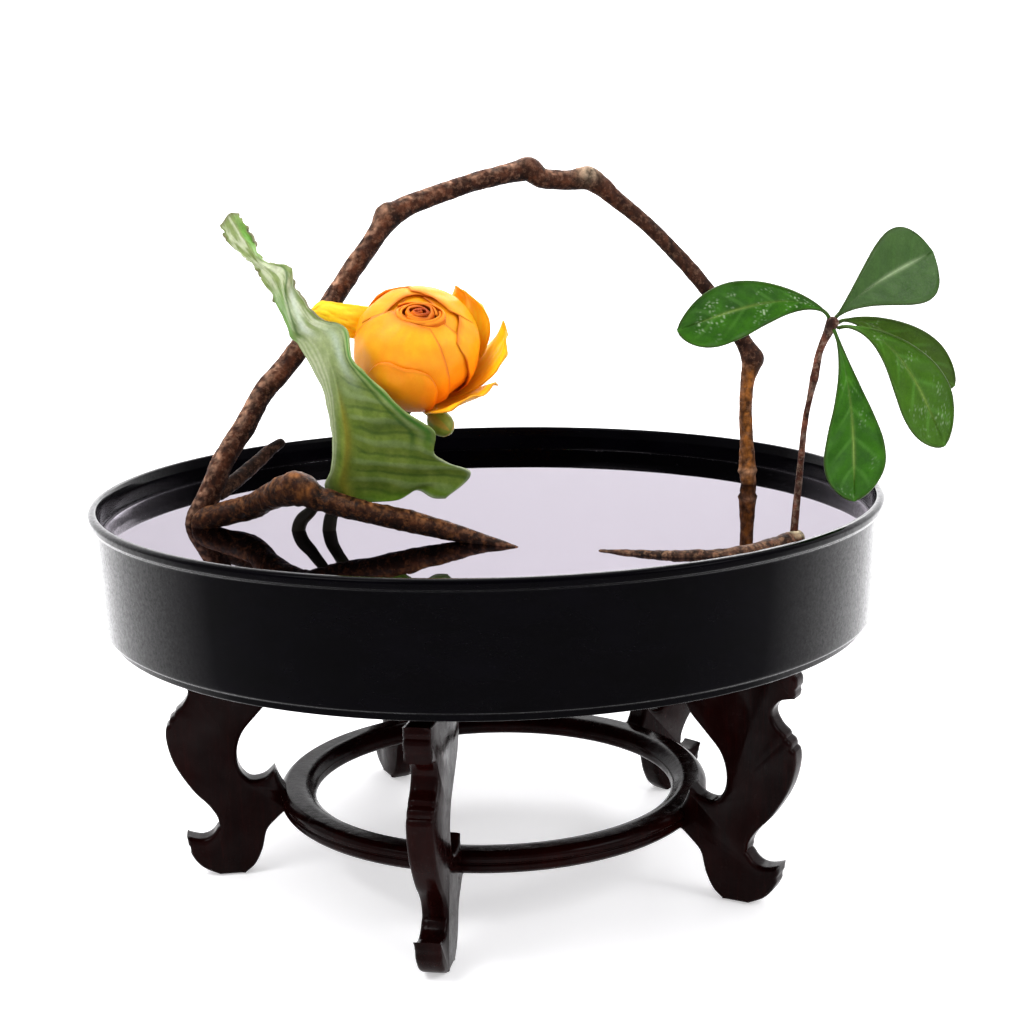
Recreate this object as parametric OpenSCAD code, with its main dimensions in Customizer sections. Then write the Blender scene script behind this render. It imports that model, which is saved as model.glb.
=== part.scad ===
// A water-dish flower arrangement held by two flower frogs (pin holders).
// A round black dish of water rests on a five-legged carved stand. In the dish stand a large
// and a small flower frog: a cast base, a bed of brass pins and a rubber ring each. The large
// frog holds a forked branch, a broad leaf and a flower, and the small one holds a sprig on a
// piece of bark. Everything that is placed by hand lifts off straight up.
// Origin: on the floor, on the axis of the stand. +Z is up and -Y is the front. Millimetres.

/* [Dish] */
// Outer radius of the rim
rim_r = 150; // [148:0.5:154]
// Height of the dish, from its underside to its rim
dish_h = 47; // [46:0.5:50]
// Thickness of the wall
dish_wall = 3.4; // [3:0.1:4]
// Thickness of the floor
dish_floor = 4.5; // [4:0.1:5]
// Depth from the rim down to the water
water_drop = 10; // [9:0.5:12]

/* [Stand] */
// Height of the stand
stand_h = 101.5; // [100:0.5:103]
// Thickness of a leg
leg_t = 9.5; // [9:0.5:11]
// Outer radius of the round top frame
frame_r = 118; // [116:1:120]
// Outer radius of the ring between the legs
ring_r = 84; // [83.5:0.25:84.5]
// Radial width of that ring
ring_w = 13.8; // [13:0.2:14.4]
// Direction of the front leg, in degrees to the right of the front
front_leg_turn = -10.5; // [-14:0.5:-8]

/* [Flower frogs] */
// Diameter of the large frog's base
main_frog_d = 72; // [68:1:74]
// Diameter of the small frog's base
side_frog_d = 44; // [42:1:46]
// Height of a base
frog_base_h = 7.5; // [7:0.5:8]
// Length of pin that stands above the base
pin_l = 9.5; // [9:0.5:9.5]
// Diameter of a pin
pin_d = 1.5; // [1.3:0.1:1.6]
// Distance between neighbouring pins
pin_pitch = 5; // [4.5:0.25:6]

/* [Plants] */
// Diameter of the ball of inner petals
flower_d = 45; // [43:0.5:46.5]
// Thickness of the broad leaf
leaf_t = 1.3; // [1.2:0.1:1.5]
// Thickness of a sprig leaf
sprig_leaf_t = 1.2; // [1:0.1:1.4]

/* [Hidden] */

$fn = 96;
eps = 0.01;
// Gap between things that only rest on each other
seat = 0.2;

// Stand
leg_count = 5;
leg_angles = [for (i = [0:leg_count - 1]) front_leg_turn + 360 / leg_count * i];
frame_h = 8;
frame_z = stand_h - frame_h;
frame_w = 23;
panel_r = frame_r - frame_w + 4;
panel_t = 3.5;
ring_z = 25;
ring_h = 8.4;
ring_mid_z = ring_z + ring_h / 2;
frame_dowel_d = 6;
frame_dowel_r = 106;
ring_dowel_d = 4;

// Dish
dish_z = stand_h + seat;
rim_z = dish_z + dish_h;
foot_r = rim_r - 5.6;
wall_foot_r = rim_r - 3.2;
foot_step = 3.2;
lip_h = 3.5;
inner_floor_z = dish_z + dish_floor;
water_z = rim_z - water_drop;

// Frogs
main_frog_at = [-85, -14];
side_frog_at = [93, -60];
frog_z = inner_floor_z + seat;
rubber_w = 2;
rubber_h = 4;
pin_embed = 4;
pin_tip = 2.5;
stem_foot = frog_z + frog_base_h + 0.5 - water_z;
arch_foot = inner_floor_z + 3 - water_z;

// The plants are placed with heights counted from the water.
// Routes of the woody parts: [x, y, z, diameter] of points along the middle of each
arch_route = [
    [-109.5, -11, stem_foot, 8.4], [-110, -11, -7.5, 9.1], [-110, -11, 1, 9.3],
    [-104.5, -9.5, 12, 9], [-99, -7, 24.5, 8.6], [-91, -3, 36.5, 8.5], [-84, 2.5, 48.5, 8.3],
    [-75, 7.5, 58.5, 8.3], [-62, 12.5, 75.5, 8.2], [-50.5, 16.5, 92, 8], [-40.5, 19.5, 105.5, 8],
    [-36, 21.5, 112, 10], [-31, 22.5, 115, 8.8], [-24, 24.5, 118, 7.9], [-3.5, 30, 124.5, 7.4],
    [8, 33, 127, 7.8], [15, 35.5, 128.5, 8.8], [19, 36.5, 129, 9.7], [24, 37.5, 125.5, 8.4],
    [33.5, 39.5, 124.5, 8], [41.5, 40.5, 125, 9.2], [46.5, 41.5, 122.5, 8.5],
    [53.5, 43, 116.5, 6.7], [67.5, 45, 104.5, 6.1], [83.5, 45.5, 87.5, 6.2], [98, 46.5, 69, 6.2],
    [105, 48, 58, 7], [108, 48, 51, 8.6], [106.5, 48, 43, 6], [105.5, 47, 32, 5.4],
    [106, 47, 18, 5.8], [106.5, 47, 6, 7.2], [107, 47, -1, 6.3], [107, 47, -10, 6.2],
    [107, 47, arch_foot, 6]];
low_route = [
    [-108.5, -14.5, -1, 7.5], [-106, -16, 2.5, 9], [-99.5, -17.5, 5, 9.6],
    [-88.5, -19, 7.5, 9.6], [-81.5, -26, 12, 9.6], [-75.5, -32, 15.5, 11.2],
    [-69.5, -36.5, 17.5, 12.6], [-64.5, -39, 17, 11.6], [-60, -40.5, 14.5, 9.4],
    [-52.5, -42.5, 12.5, 8.8], [-41, -46, 10, 8.2], [-29.5, -47, 7.5, 8.4],
    [-14.5, -50, 4, 7], [-3, -53.5, 1.5, 5], [7, -59.5, 0, 3], [11, -62, -0.5, 1.8]];
twig_route = [
    [-102, -8, 11, 6.5], [-91, 2, 18.5, 5.8], [-84.5, 7.5, 24, 5], [-79.5, 10.5, 27, 3.5]];
leaf_stalk_route = [
    [-71, -24.5, stem_foot, 3.4], [-69.5, -25.5, 0, 3.8], [-64, -28.5, 8, 3.6],
    [-58.5, -31, 15, 3.2], [-54.5, -36, 22, 2.8], [-51.5, -42, 29, 2.1]];
flower_stem_route = [
    [-60, -26, stem_foot, 3.8], [-58, -26.5, 0, 4.1], [-55, -26, 9, 4.1],
    [-46.5, -23.5, 22, 4.3], [-36.5, -21, 35.5, 4.5], [-25.5, -21.5, 47.5, 4.9]];

// Sprig
log_route = [
    [40, -70.5, -0.5, 2.2], [53, -76.5, -0.5, 3.9], [67, -81, -0.5, 5.2], [80, -80, -1, 6],
    [91, -74.5, -1, 6.3], [101.5, -66, -0.5, 6.5], [110.5, -56.5, 0, 6.5]];
sprig_stem_route = [
    [108, -58.5, stem_foot, 3.2], [109, -57.5, 0, 3], [111, -56.5, 22.5, 2.4],
    [112.5, -57.5, 41, 2.2], [114, -58.5, 50.5, 2.2], [115.5, -58.5, 57.5, 3],
    [117, -59.5, 66.5, 2.6], [120, -59.5, 73.5, 3.5], [121.5, -59.5, 77, 4.3]];
// Each sprig leaf: [base, tip, widest, bend] with bend the way its middle is pushed out
sprig_leaves = [
    [[120, -59.5, 78], [68, -56.5, 74.5], 20, [3, -1, 7.5]],
    [[122.5, -59, 78], [160, -38, 98.5], 28, [-1, -1, 2]],
    [[123, -61, 74.5], [158.5, -70.5, 34.5], 18.5, [3.5, -5.5, 8.5]],
    [[123.5, -58.5, 76], [166, -51, 52.5], 15, [-1, 0, 6.5]],
    [[121.5, -61.5, 74], [127.5, -71.5, 16], 20.5, [2, -4.5, -1]]];

// Broad leaf: rows from the tip down, each [left edge, midrib, right edge]
leaf_rows = [
    [[-93.5, -23, 112], [-90, -24, 116.5], [-86, -25, 116.5]],
    [[-91, -27, 107.5], [-86, -28, 110], [-83.5, -28, 110]],
    [[-86, -31.5, 102.5], [-82.5, -32.5, 105.5], [-79.5, -31.5, 104.5]],
    [[-80.5, -36, 99], [-78.5, -37, 100], [-76, -36, 100]],
    [[-77, -40, 93.5], [-71, -42.5, 95], [-66.5, -41, 98]],
    [[-72, -42.5, 86], [-68.5, -45.5, 87.5], [-64.5, -44.5, 90.5]],
    [[-67.5, -45.5, 74.5], [-63, -48.5, 78.5], [-57, -49.5, 81]],
    [[-64.5, -46.5, 71], [-56.5, -51, 73.5], [-47, -54, 77.5]],
    [[-60, -48.5, 62.5], [-52.5, -53, 64.5], [-45, -56, 67]],
    [[-56.5, -48.5, 54.5], [-50.5, -51.5, 54.5], [-37.5, -55, 58.5]],
    [[-55, -46, 44], [-49.5, -49, 45.5], [-26, -52.5, 46.5]],
    [[-54.5, -43, 35], [-49, -46, 36], [-17.5, -49, 39.5]],
    [[-56, -39, 24.5], [-50.5, -42, 26.5], [-17.5, -45.5, 30]],
    [[-59, -34, 18], [-52, -38, 19], [-6.5, -43, 23]],
    [[-56.5, -32.5, 13.5], [-49.5, -35.5, 12], [-14.5, -40, 13.5]]];

// Flower
flower_at = [-24, -31.5, 68];
flower_tilt = [27, 5, 0];
heart_r = flower_d / 2;
// Each outer petal: [direction, half width in degrees, flare, length from base to tip]
outer_petals = [[42, 17, 1.12, 1.08], [4, 16, 1.3, 0.86], [-36, 18, 1.42, 0.56],
    [172, 12, 1.75, 0.98], [-100, 33, 1, 0.86], [106, 42, 1.02, 1]];
// The bud on its short neck: where it leaves the flower and where it ends
bud_from = [-25, -22.5, 46];
bud_to = [-12, -39, 38];
petal_t = 1;

// ---------------------------------------------------------------- helpers

// A point on a smooth curve through the points p: t runs from 0 to len(p) - 1
function curve_at(p, t) =
    let (n = len(p), i = min(floor(t), n - 2), u = t - i,
         a = p[max(i - 1, 0)], b = p[i], c = p[i + 1], d = p[min(i + 2, n - 1)])
    0.5 * (2 * b + (c - a) * u + (2 * a - 5 * b + 4 * c - d) * u * u
           + (3 * b - a - 3 * c + d) * u * u * u);

// The same curve as a list of points
function curve(p, steps) = [for (i = [0:(len(p) - 1) * steps]) curve_at(p, i / steps)];

function unit(v) = v / norm(v);
function xyz(p) = [p[0], p[1], p[2]];

// A tapered round bar along a route of [x, y, z, diameter], as one closed skin
module bar(route, sides = 10, steps = 2) {
    s = curve(route, steps);
    last = len(s) - 1;
    function heading(i) = unit(xyz(s[min(i + 1, last)]) - xyz(s[max(i - 1, 0)]));
    function side_way(i) = unit(cross(heading(i), [0, 1, 0]));
    function ring_point(i, k) =
        let (a = 360 * k / sides, u = side_way(i), v = cross(heading(i), u))
        xyz(s[i]) + s[i][3] / 2 * (cos(a) * u + sin(a) * v);
    skin = [for (i = [0:last], k = [0:sides - 1]) ring_point(i, k)];
    points = concat(skin, [xyz(s[0]), xyz(s[last])]);
    foot = len(skin);
    sleeve = [for (i = [0:last - 1], k = [0:sides - 1])
        let (a = i * sides + k, b = i * sides + (k + 1) % sides)
        each [[a, a + sides, b], [b, a + sides, b + sides]]];
    caps = [for (k = [0:sides - 1]) let (m = (k + 1) % sides)
        each [[foot, k, m], [foot + 1, last * sides + m, last * sides + k]]];
    polyhedron(points = points, faces = concat(sleeve, caps), convexity = 8);
}

// A closed sheet from a front grid and a back grid, both lists of rows of points
module sheet(front, back) {
    rows = len(front);
    cols = len(front[0]);
    area = rows * cols;
    function id(r, c) = r * cols + c;
    points = concat([for (row = front) each row], [for (row = back) each row]);
    faces_front = [for (r = [0:rows - 2], c = [0:cols - 2])
        each [[id(r, c), id(r, c + 1), id(r + 1, c)],
              [id(r, c + 1), id(r + 1, c + 1), id(r + 1, c)]]];
    faces_back = [for (f = faces_front) [f[0] + area, f[2] + area, f[1] + area]];
    edge = concat([for (c = [0:cols - 1]) id(0, c)], [for (r = [1:rows - 1]) id(r, cols - 1)],
        [for (c = [cols - 2:-1:0]) id(rows - 1, c)], [for (r = [rows - 2:-1:1]) id(r, 0)]);
    rim = [for (i = [0:len(edge) - 1]) let (a = edge[i], b = edge[(i + 1) % len(edge)])
        each [[b, a, a + area], [b, a + area, b + area]]];
    polyhedron(points = points, faces = concat(faces_front, faces_back, rim), convexity = 8);
}

// ---------------------------------------------------------------- stand

// A leg's side view: strokes that meet at corners, each [distance from the axis, height]
leg_strokes = [
    [[80, frame_z], [126, frame_z]],
    [[126, frame_z], [127, 87], [126, 81]],
    [[126, 81], [120.5, 79.5], [117.5, 75], [119.5, 70], [124, 65.5], [126.8, 58.5], [124.5, 47],
     [118, 35.5], [111.5, 28], [108.5, 22], [110.5, 17], [115, 15], [121, 16.5]],
    [[121, 16.5], [119.5, 9], [115.5, 3.5], [109, 0]],
    [[109, 0], [99, 0]],
    [[99, 0], [95, 3.5], [92, 9.5], [90, 17], [86, 21.5], [82, ring_z]],
    [[82, ring_z], [82, ring_z + ring_h]],
    [[82, ring_z + ring_h], [84, 37], [85.8, 42]],
    [[85.8, 42], [90, 38.5], [95.5, 38], [99.5, 43], [100, 50], [97.5, 57.5], [91, 65],
     [85, 72], [81, 82], [80, frame_z]]];
leg_outline = [for (s = leg_strokes)
    let (c = len(s) > 2 ? curve(s, 4) : s) each [for (i = [0:len(c) - 2]) c[i]]];

module leg(i) {
    color("#2b1012")
        difference() {
            rotate([0, 0, leg_angles[i] - 90])
                difference() {
                    translate([0, leg_t / 2, 0])
                        rotate([90, 0, 0])
                            linear_extrude(height = leg_t) polygon(leg_outline);
                    translate([frame_dowel_r, 0, frame_z - 12])
                        cylinder(d = frame_dowel_d, h = 12 + eps, $fn = 32);
                    translate([ring_r - 1, 0, ring_mid_z])
                        rotate([0, 90, 0])
                            cylinder(d = ring_dowel_d, h = 8, $fn = 32);
                }
            translate([0, 0, ring_z - 2]) cylinder(r = ring_r, h = ring_h + 4);
        }
}

module top_frame() {
    edge = 2;
    color("#2b1012")
        difference() {
            rotate_extrude()
                polygon([[frame_r - frame_w, frame_z], [frame_r - edge, frame_z],
                    [frame_r, frame_z + edge], [frame_r, stand_h - edge],
                    [frame_r - edge, stand_h], [panel_r, stand_h],
                    [panel_r, stand_h - panel_t - 1], [frame_r - frame_w, stand_h - panel_t - 1]]);
            at_legs() translate([frame_dowel_r, 0, frame_z - eps])
                cylinder(d = frame_dowel_d, h = 5 + eps, $fn = 32);
        }
}

module top_panel() {
    color("#331518")
        translate([0, 0, stand_h - panel_t - 1])
            cylinder(r = panel_r - seat, h = panel_t);
}

// The ring's section: rounded corners and a groove round its outer edge
module ring_stretcher() {
    groove = 1;
    edge = 1.5;
    color("#240d10")
        difference() {
            rotate_extrude()
                polygon([[ring_r - ring_w, ring_z + edge], [ring_r - ring_w + edge, ring_z],
                    [ring_r - edge, ring_z], [ring_r, ring_z + edge],
                    [ring_r, ring_mid_z - groove], [ring_r - groove, ring_mid_z],
                    [ring_r, ring_mid_z + groove], [ring_r, ring_z + ring_h - edge],
                    [ring_r - edge, ring_z + ring_h], [ring_r - ring_w + edge, ring_z + ring_h],
                    [ring_r - ring_w, ring_z + ring_h - edge]]);
            at_legs() translate([ring_r - 7, 0, ring_mid_z])
                rotate([0, 90, 0]) cylinder(d = ring_dowel_d, h = 8, $fn = 32);
        }
}

module at_legs() {
    for (a = leg_angles) rotate([0, 0, a - 90]) children();
}

module frame_dowels() {
    color("#8a5a33")
        at_legs() translate([frame_dowel_r, 0, frame_z - 12])
            cylinder(d = frame_dowel_d, h = 17, $fn = 32);
}

module ring_dowels() {
    color("#8a5a33")
        at_legs() translate([ring_r - 7, 0, ring_mid_z])
            rotate([0, 90, 0]) cylinder(d = ring_dowel_d, h = 14, $fn = 32);
}

// ---------------------------------------------------------------- dish

module dish() {
    lip_in = rim_r - dish_wall;
    color("#0c0c10")
        rotate_extrude($fn = 180)
            polygon([[0, dish_z], [foot_r, dish_z], [foot_r, dish_z + foot_step],
                [wall_foot_r, dish_z + foot_step], [rim_r - 0.9, rim_z - lip_h],
                [rim_r, rim_z - lip_h + 0.6], [rim_r, rim_z - 0.9], [rim_r - 0.9, rim_z],
                [lip_in + 0.9, rim_z], [lip_in, rim_z - 0.9],
                [wall_foot_r - dish_wall, inner_floor_z + 3],
                [wall_foot_r - dish_wall - 3, inner_floor_z], [0, inner_floor_z]]);
}

// ---------------------------------------------------------------- flower frogs

// Feet of the stems that stand between the pins, each [x, y, clear radius]
function foot_of(route, clear) = [route[0][0], route[0][1], clear];
main_feet = [foot_of(arch_route, 7), foot_of(leaf_stalk_route, 3.4),
    foot_of(flower_stem_route, 3.6)];
side_feet = [foot_of(sprig_stem_route, 3.6)];

// True if a pin at p keeps away from every foot
function pin_is_clear(p, feet) =
    len([for (f = feet) if (norm(p - [f[0], f[1]]) < f[2]) f]) == 0;

module frog_base(at, d) {
    edge = 1;
    color("#4b4e52")
        translate([at[0], at[1], frog_z])
            rotate_extrude()
                polygon([[0, 0], [d / 2 - rubber_w, 0], [d / 2 - rubber_w, rubber_h],
                    [d / 2, rubber_h], [d / 2, frog_base_h - edge],
                    [d / 2 - edge, frog_base_h], [0, frog_base_h]]);
}

module frog_pins(at, d, feet) {
    field = d / 2 - 4;
    rows = ceil(field / pin_pitch) + 1;
    color("#b58a3c")
        for (j = [-rows:rows], i = [-rows:rows]) {
            p = [(i + (j % 2 == 0 ? 0 : 0.5)) * pin_pitch, j * pin_pitch * sin(60)];
            if (norm(p) <= field && pin_is_clear(p + at, feet))
                translate([at[0] + p[0], at[1] + p[1], frog_z + frog_base_h - pin_embed])
                    rotate_extrude($fn = 24)
                        polygon([[0, 0], [pin_d / 2, 0],
                            [pin_d / 2, pin_embed + pin_l - pin_tip],
                            [0, pin_embed + pin_l]]);
        }
}

module frog_rubber(at, d) {
    color("#1c3a2a")
        translate([at[0], at[1], frog_z])
            rotate_extrude()
                polygon([[d / 2 - rubber_w, 0], [d / 2 + 0.8, 0], [d / 2 + 1.4, 1],
                    [d / 2 + 1.4, rubber_h - 1], [d / 2 + 0.8, rubber_h],
                    [d / 2 - rubber_w, rubber_h]]);
}

// ---------------------------------------------------------------- large frog's plants

// The plants' heights are counted from the water
module from_water() { translate([0, 0, water_z]) children(); }

module arch_branch() { color("#6b3d24") from_water() bar(arch_route, 10, 2); }

module low_branch() { color("#4f2e1c") from_water() bar(low_route, 10, 2); }

module twig_stub() { color("#3c2a1e") from_water() bar(twig_route, 8, 2); }

// A row of leaf points from the left edge through the midrib to the right edge
function leaf_row(r, cols) = [for (c = [0:cols - 1]) curve_at(r, 2 * c / (cols - 1))];

module leaf_blade() {
    front = [for (r = leaf_rows) leaf_row(r, 7)];
    back = [for (row = front) [for (p = row) p + [0, leaf_t, 0]]];
    color("#7da35f") from_water() sheet(front, back);
}

module leaf_stalk() { color("#8aa05a") from_water() bar(leaf_stalk_route, 8, 3); }

module at_flower() {
    from_water() translate(flower_at) rotate(flower_tilt) children();
}

// The packed inner petals: a ball with a hollow at its crown
module flower_heart() {
    color("#f6a21a")
        at_flower()
            rotate_extrude($fn = 64)
                polygon(concat([[0, -heart_r + 2]],
                    [for (a = [-70:10:60]) heart_r * [cos(a), 0.94 * sin(a)]],
                    [[9, heart_r * 0.78], [5, heart_r * 0.62], [0, heart_r * 0.56]]));
}

// One outer petal: a strip of a flared cup round the heart, from u = 0 at its base to 1
module outer_petal(i) {
    p = outer_petals[i];
    base_a = -72;
    tip_a = -72 + 110 * p[3];
    function cup(u, v, out) =
        let (a = base_a + (tip_a - base_a) * u,
             spread = p[1] * (0.35 + 0.65 * sin(min(1, 0.25 + 1.5 * u) * 90))
                 * (u > 0.75 ? cos((u - 0.75) * 240) : 1),
             turn = p[0] + spread * v,
             r = (heart_r + 0.6 + out) * (1 + (p[2] - 1) * u * u),
             h = (heart_r + 0.6 + out) * 0.94 * sin(a))
        [r * cos(a) * cos(turn), r * cos(a) * sin(turn), h];
    steps = 7;
    front = [for (j = [0:steps]) [for (k = [0:6]) cup(j / steps, k / 3 - 1, petal_t)]];
    back = [for (j = [0:steps]) [for (k = [0:6]) cup(j / steps, k / 3 - 1, 0)]];
    color("#ffab1f") at_flower() sheet(front, back);
}

module flower_calyx() {
    color("#5f7d2c")
        at_flower()
            translate([0, 0, -heart_r - 1])
                rotate_extrude($fn = 48)
                    polygon([[0, 0], [3.4, 0], [7.6, 2.2], [9.4, 4.4], [8.6, 4.2],
                        [6.5, 3], [3, 2.6], [0, 2.6]]);
}

// A green bud on a short neck beside the flower
module flower_bud() {
    d = bud_to - bud_from;
    l = norm(d);
    color("#7f9a3a")
        from_water() translate(bud_from)
            rotate([0, acos(d[2] / l), atan2(d[1], d[0])])
                rotate_extrude($fn = 40)
                    polygon([[0, 0], [1, 0], [1, l - 13], [3.2, l - 10.8], [4.6, l - 7],
                        [4.4, l - 3.8], [2.4, l - 1], [0, l]]);
}

module flower_stem() { color("#55652c") from_water() bar(flower_stem_route, 8, 3); }

// ---------------------------------------------------------------- small frog's sprig

module sprig_log() { color("#5a4632") from_water() bar(log_route, 10, 2); }

module sprig_stem() { color("#4a3226") from_water() bar(sprig_stem_route, 8, 3); }

// A leaf that is widest near its rounded tip, along a bent midrib, folded a little along it
module sprig_leaf(i) {
    d = sprig_leaves[i];
    way = unit(d[1] - d[0]);
    out = [way[2], 0, -way[0]];
    across = unit(out);
    fold = 0.16;
    function rib(u) = d[0] + (d[1] - d[0]) * u + d[3] * sin(180 * pow(u, 0.75));
    function half(u) = 0.5 + d[2] / 2 * pow(sin(180 * pow(u, 2.2)), 0.7);
    steps = 12;
    front = [for (j = [0:steps]) let (u = j / steps, w = half(u))
        [for (v = [-1:0.5:1]) rib(u) + across * w * v + [0, -fold * w * abs(v), 0]]];
    back = [for (row = front) [for (p = row) p + [0, sprig_leaf_t, 0]]];
    color("#2f7a2c") from_water() sheet(front, back);
}

// ---------------------------------------------------------------- assembly

top_frame();
top_panel();
leg(0);  // leg_1
leg(1);  // leg_2
leg(2);  // leg_3
leg(3);  // leg_4
leg(4);  // leg_5
ring_stretcher();
frame_dowels();
ring_dowels();
dish();
frog_base(main_frog_at, main_frog_d);  // main_frog_base
frog_pins(main_frog_at, main_frog_d, main_feet);  // main_frog_pins
frog_rubber(main_frog_at, main_frog_d);  // main_frog_rubber_ring
frog_base(side_frog_at, side_frog_d);  // side_frog_base
frog_pins(side_frog_at, side_frog_d, side_feet);  // side_frog_pins
frog_rubber(side_frog_at, side_frog_d);  // side_frog_rubber_ring
arch_branch();
low_branch();
twig_stub();
leaf_blade();
leaf_stalk();
flower_heart();
outer_petal(0);  // outer_petal_1
outer_petal(1);  // outer_petal_2
outer_petal(2);  // outer_petal_3
outer_petal(3);  // outer_petal_4
outer_petal(4);  // outer_petal_5
outer_petal(5);  // outer_petal_6
flower_calyx();
flower_bud();
flower_stem();
sprig_log();
sprig_stem();
sprig_leaf(0);  // sprig_leaf_1
sprig_leaf(1);  // sprig_leaf_2
sprig_leaf(2);  // sprig_leaf_3
sprig_leaf(3);  // sprig_leaf_4
sprig_leaf(4);  // sprig_leaf_5
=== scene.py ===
"""A round water dish on a carved stand, with plants held by flower frogs under the water.

Lengths in the making code are millimetres and mesh() turns them into metres. The plants'
heights are counted from the water, as in the CAD.
"""
from math import atan2, cos, exp, pi, radians, sin, sqrt

import bpy
from mathutils import Euler, Matrix, Vector, noise


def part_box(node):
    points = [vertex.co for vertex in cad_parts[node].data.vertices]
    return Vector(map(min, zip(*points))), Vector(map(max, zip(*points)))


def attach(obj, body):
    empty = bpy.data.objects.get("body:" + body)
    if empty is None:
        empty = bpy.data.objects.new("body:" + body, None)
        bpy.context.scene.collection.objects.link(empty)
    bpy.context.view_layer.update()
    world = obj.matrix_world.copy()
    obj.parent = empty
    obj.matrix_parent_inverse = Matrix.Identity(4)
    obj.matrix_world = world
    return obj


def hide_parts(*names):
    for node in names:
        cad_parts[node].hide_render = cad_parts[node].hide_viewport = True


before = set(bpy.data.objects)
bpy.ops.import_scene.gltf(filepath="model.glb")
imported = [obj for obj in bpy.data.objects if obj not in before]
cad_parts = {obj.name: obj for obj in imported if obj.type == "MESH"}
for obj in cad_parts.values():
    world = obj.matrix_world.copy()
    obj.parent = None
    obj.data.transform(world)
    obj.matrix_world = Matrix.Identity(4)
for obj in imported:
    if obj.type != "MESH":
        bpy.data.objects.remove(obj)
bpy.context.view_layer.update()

MM = 0.001
WATER_DROP = 10      # from the rim down to the water
DISH_FLOOR = 4.5     # thickness of the dish's floor
RIM_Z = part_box("dish")[1].z / MM
DISH_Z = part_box("dish")[0].z / MM
WATER_Z = RIM_Z - WATER_DROP
LEG_TURN = -10.5
LEG_ANGLES = [LEG_TURN + 72 * i for i in range(5)]


# ------------------------------------------------------------------ small maths

def lerp(a, b, t):
    return a + (b - a) * t


def clamp(x, lo=0.0, hi=1.0):
    return max(lo, min(hi, x))


def smooth(a, b, x):
    t = clamp((x - a) / (b - a))
    return t * t * (3 - 2 * t)


def mix(a, b, t):
    return tuple(lerp(x, y, t) for x, y in zip(a, b))


def dip(x, at, width):
    """1 at `at`, falling smoothly to 0 about `width` away."""
    return exp(-((x - at) / width) ** 2)


def ripple(p, scale, octaves=3):
    """Smooth noise from -1 to 1 at a point in millimetres; scale is the size of its features."""
    return noise.fractal(Vector(p) / scale, 0.9, 2.0, octaves)


def shade(p, scale, octaves=3):
    """The same noise from 0 to 1."""
    return 0.5 + 0.5 * ripple(p, scale, octaves)


def curve_at(p, t):
    """The CAD's smooth curve through the points p, at t from 0 to len(p) - 1."""
    n = len(p)
    i = min(int(t), n - 2)
    u = t - i
    a, b, c, d = p[max(i - 1, 0)], p[i], p[i + 1], p[min(i + 2, n - 1)]
    return [0.5 * (2 * b[k] + (c[k] - a[k]) * u
                   + (2 * a[k] - 5 * b[k] + 4 * c[k] - d[k]) * u * u
                   + (3 * b[k] - a[k] - 3 * c[k] + d[k]) * u ** 3)
            for k in range(len(b))]


# ------------------------------------------------------------------ meshes

def mesh(name, points, faces, tints=None, sharp=None, to=None):
    """A new object from points in millimetres, with its colours kept per point."""
    data = bpy.data.meshes.new(name)
    data.from_pydata([Vector(p) * MM for p in points], [], faces)
    data.update()
    if tints:
        layer = data.color_attributes.new("tint", "FLOAT_COLOR", "POINT")
        layer.data.foreach_set("color", [c for t in tints for c in (*t[:3], 1.0)])
    data.shade_smooth()
    if sharp:
        data.set_sharp_from_angle(angle=radians(sharp))
    obj = bpy.data.objects.new(name, data)
    bpy.context.scene.collection.objects.link(obj)
    return obj


def place(obj, body, slot, material, *nodes):
    """Gives a piece its finish, its body and the CAD nodes it stands for."""
    obj.data.materials.clear()
    obj.data.materials.append(material)
    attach(obj, body)
    if nodes:
        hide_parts(*nodes)
    return obj


def rounded(profile, steps=5):
    """A closed outline [(a, b, corner radius)] with its corners rounded."""
    out = []
    n = len(profile)
    for i, (a, b, r) in enumerate(profile):
        p = Vector((a, b))
        if r <= 0:
            out.append(p)
            continue
        q = Vector(profile[i - 1][:2]) - p
        s = Vector(profile[(i + 1) % n][:2]) - p
        cut = min(r, q.length * 0.49, s.length * 0.49)
        start, end = p + q.normalized() * cut, p + s.normalized() * cut
        for k in range(steps + 1):
            t = k / steps
            out.append(start * (1 - t) ** 2 + p * 2 * t * (1 - t) + end * t * t)
    return [(v.x, v.y) for v in out]


def lathe(name, profile, segments=224, tint=None, sharp=None):
    """A profile [(radius, height)] turned round Z. It is closed, or starts and ends on the axis."""
    points, faces, tints, rings = [], [], [], []
    for r, z in profile:
        if r < 1e-6:
            rings.append([len(points)])
            points.append((0, 0, z))
        else:
            rings.append(list(range(len(points), len(points) + segments)))
            points += [(r * cos(2 * pi * k / segments),
                        r * sin(2 * pi * k / segments), z) for k in range(segments)]
    pairs = list(zip(rings, rings[1:]))
    if len(rings[0]) > 1:
        pairs.append((rings[-1], rings[0]))
    for a, b in pairs:
        for k in range(segments):
            m = (k + 1) % segments
            if len(a) == 1 and len(b) == 1:
                continue
            if len(a) == 1:
                faces.append((a[0], b[m], b[k]))
            elif len(b) == 1:
                faces.append((a[k], a[m], b[0]))
            else:
                faces.append((a[k], a[m], b[m], b[k]))
    if tint:
        tints = [tint(*p) for p in points]
    return mesh(name, points, faces, tints, sharp)


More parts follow.
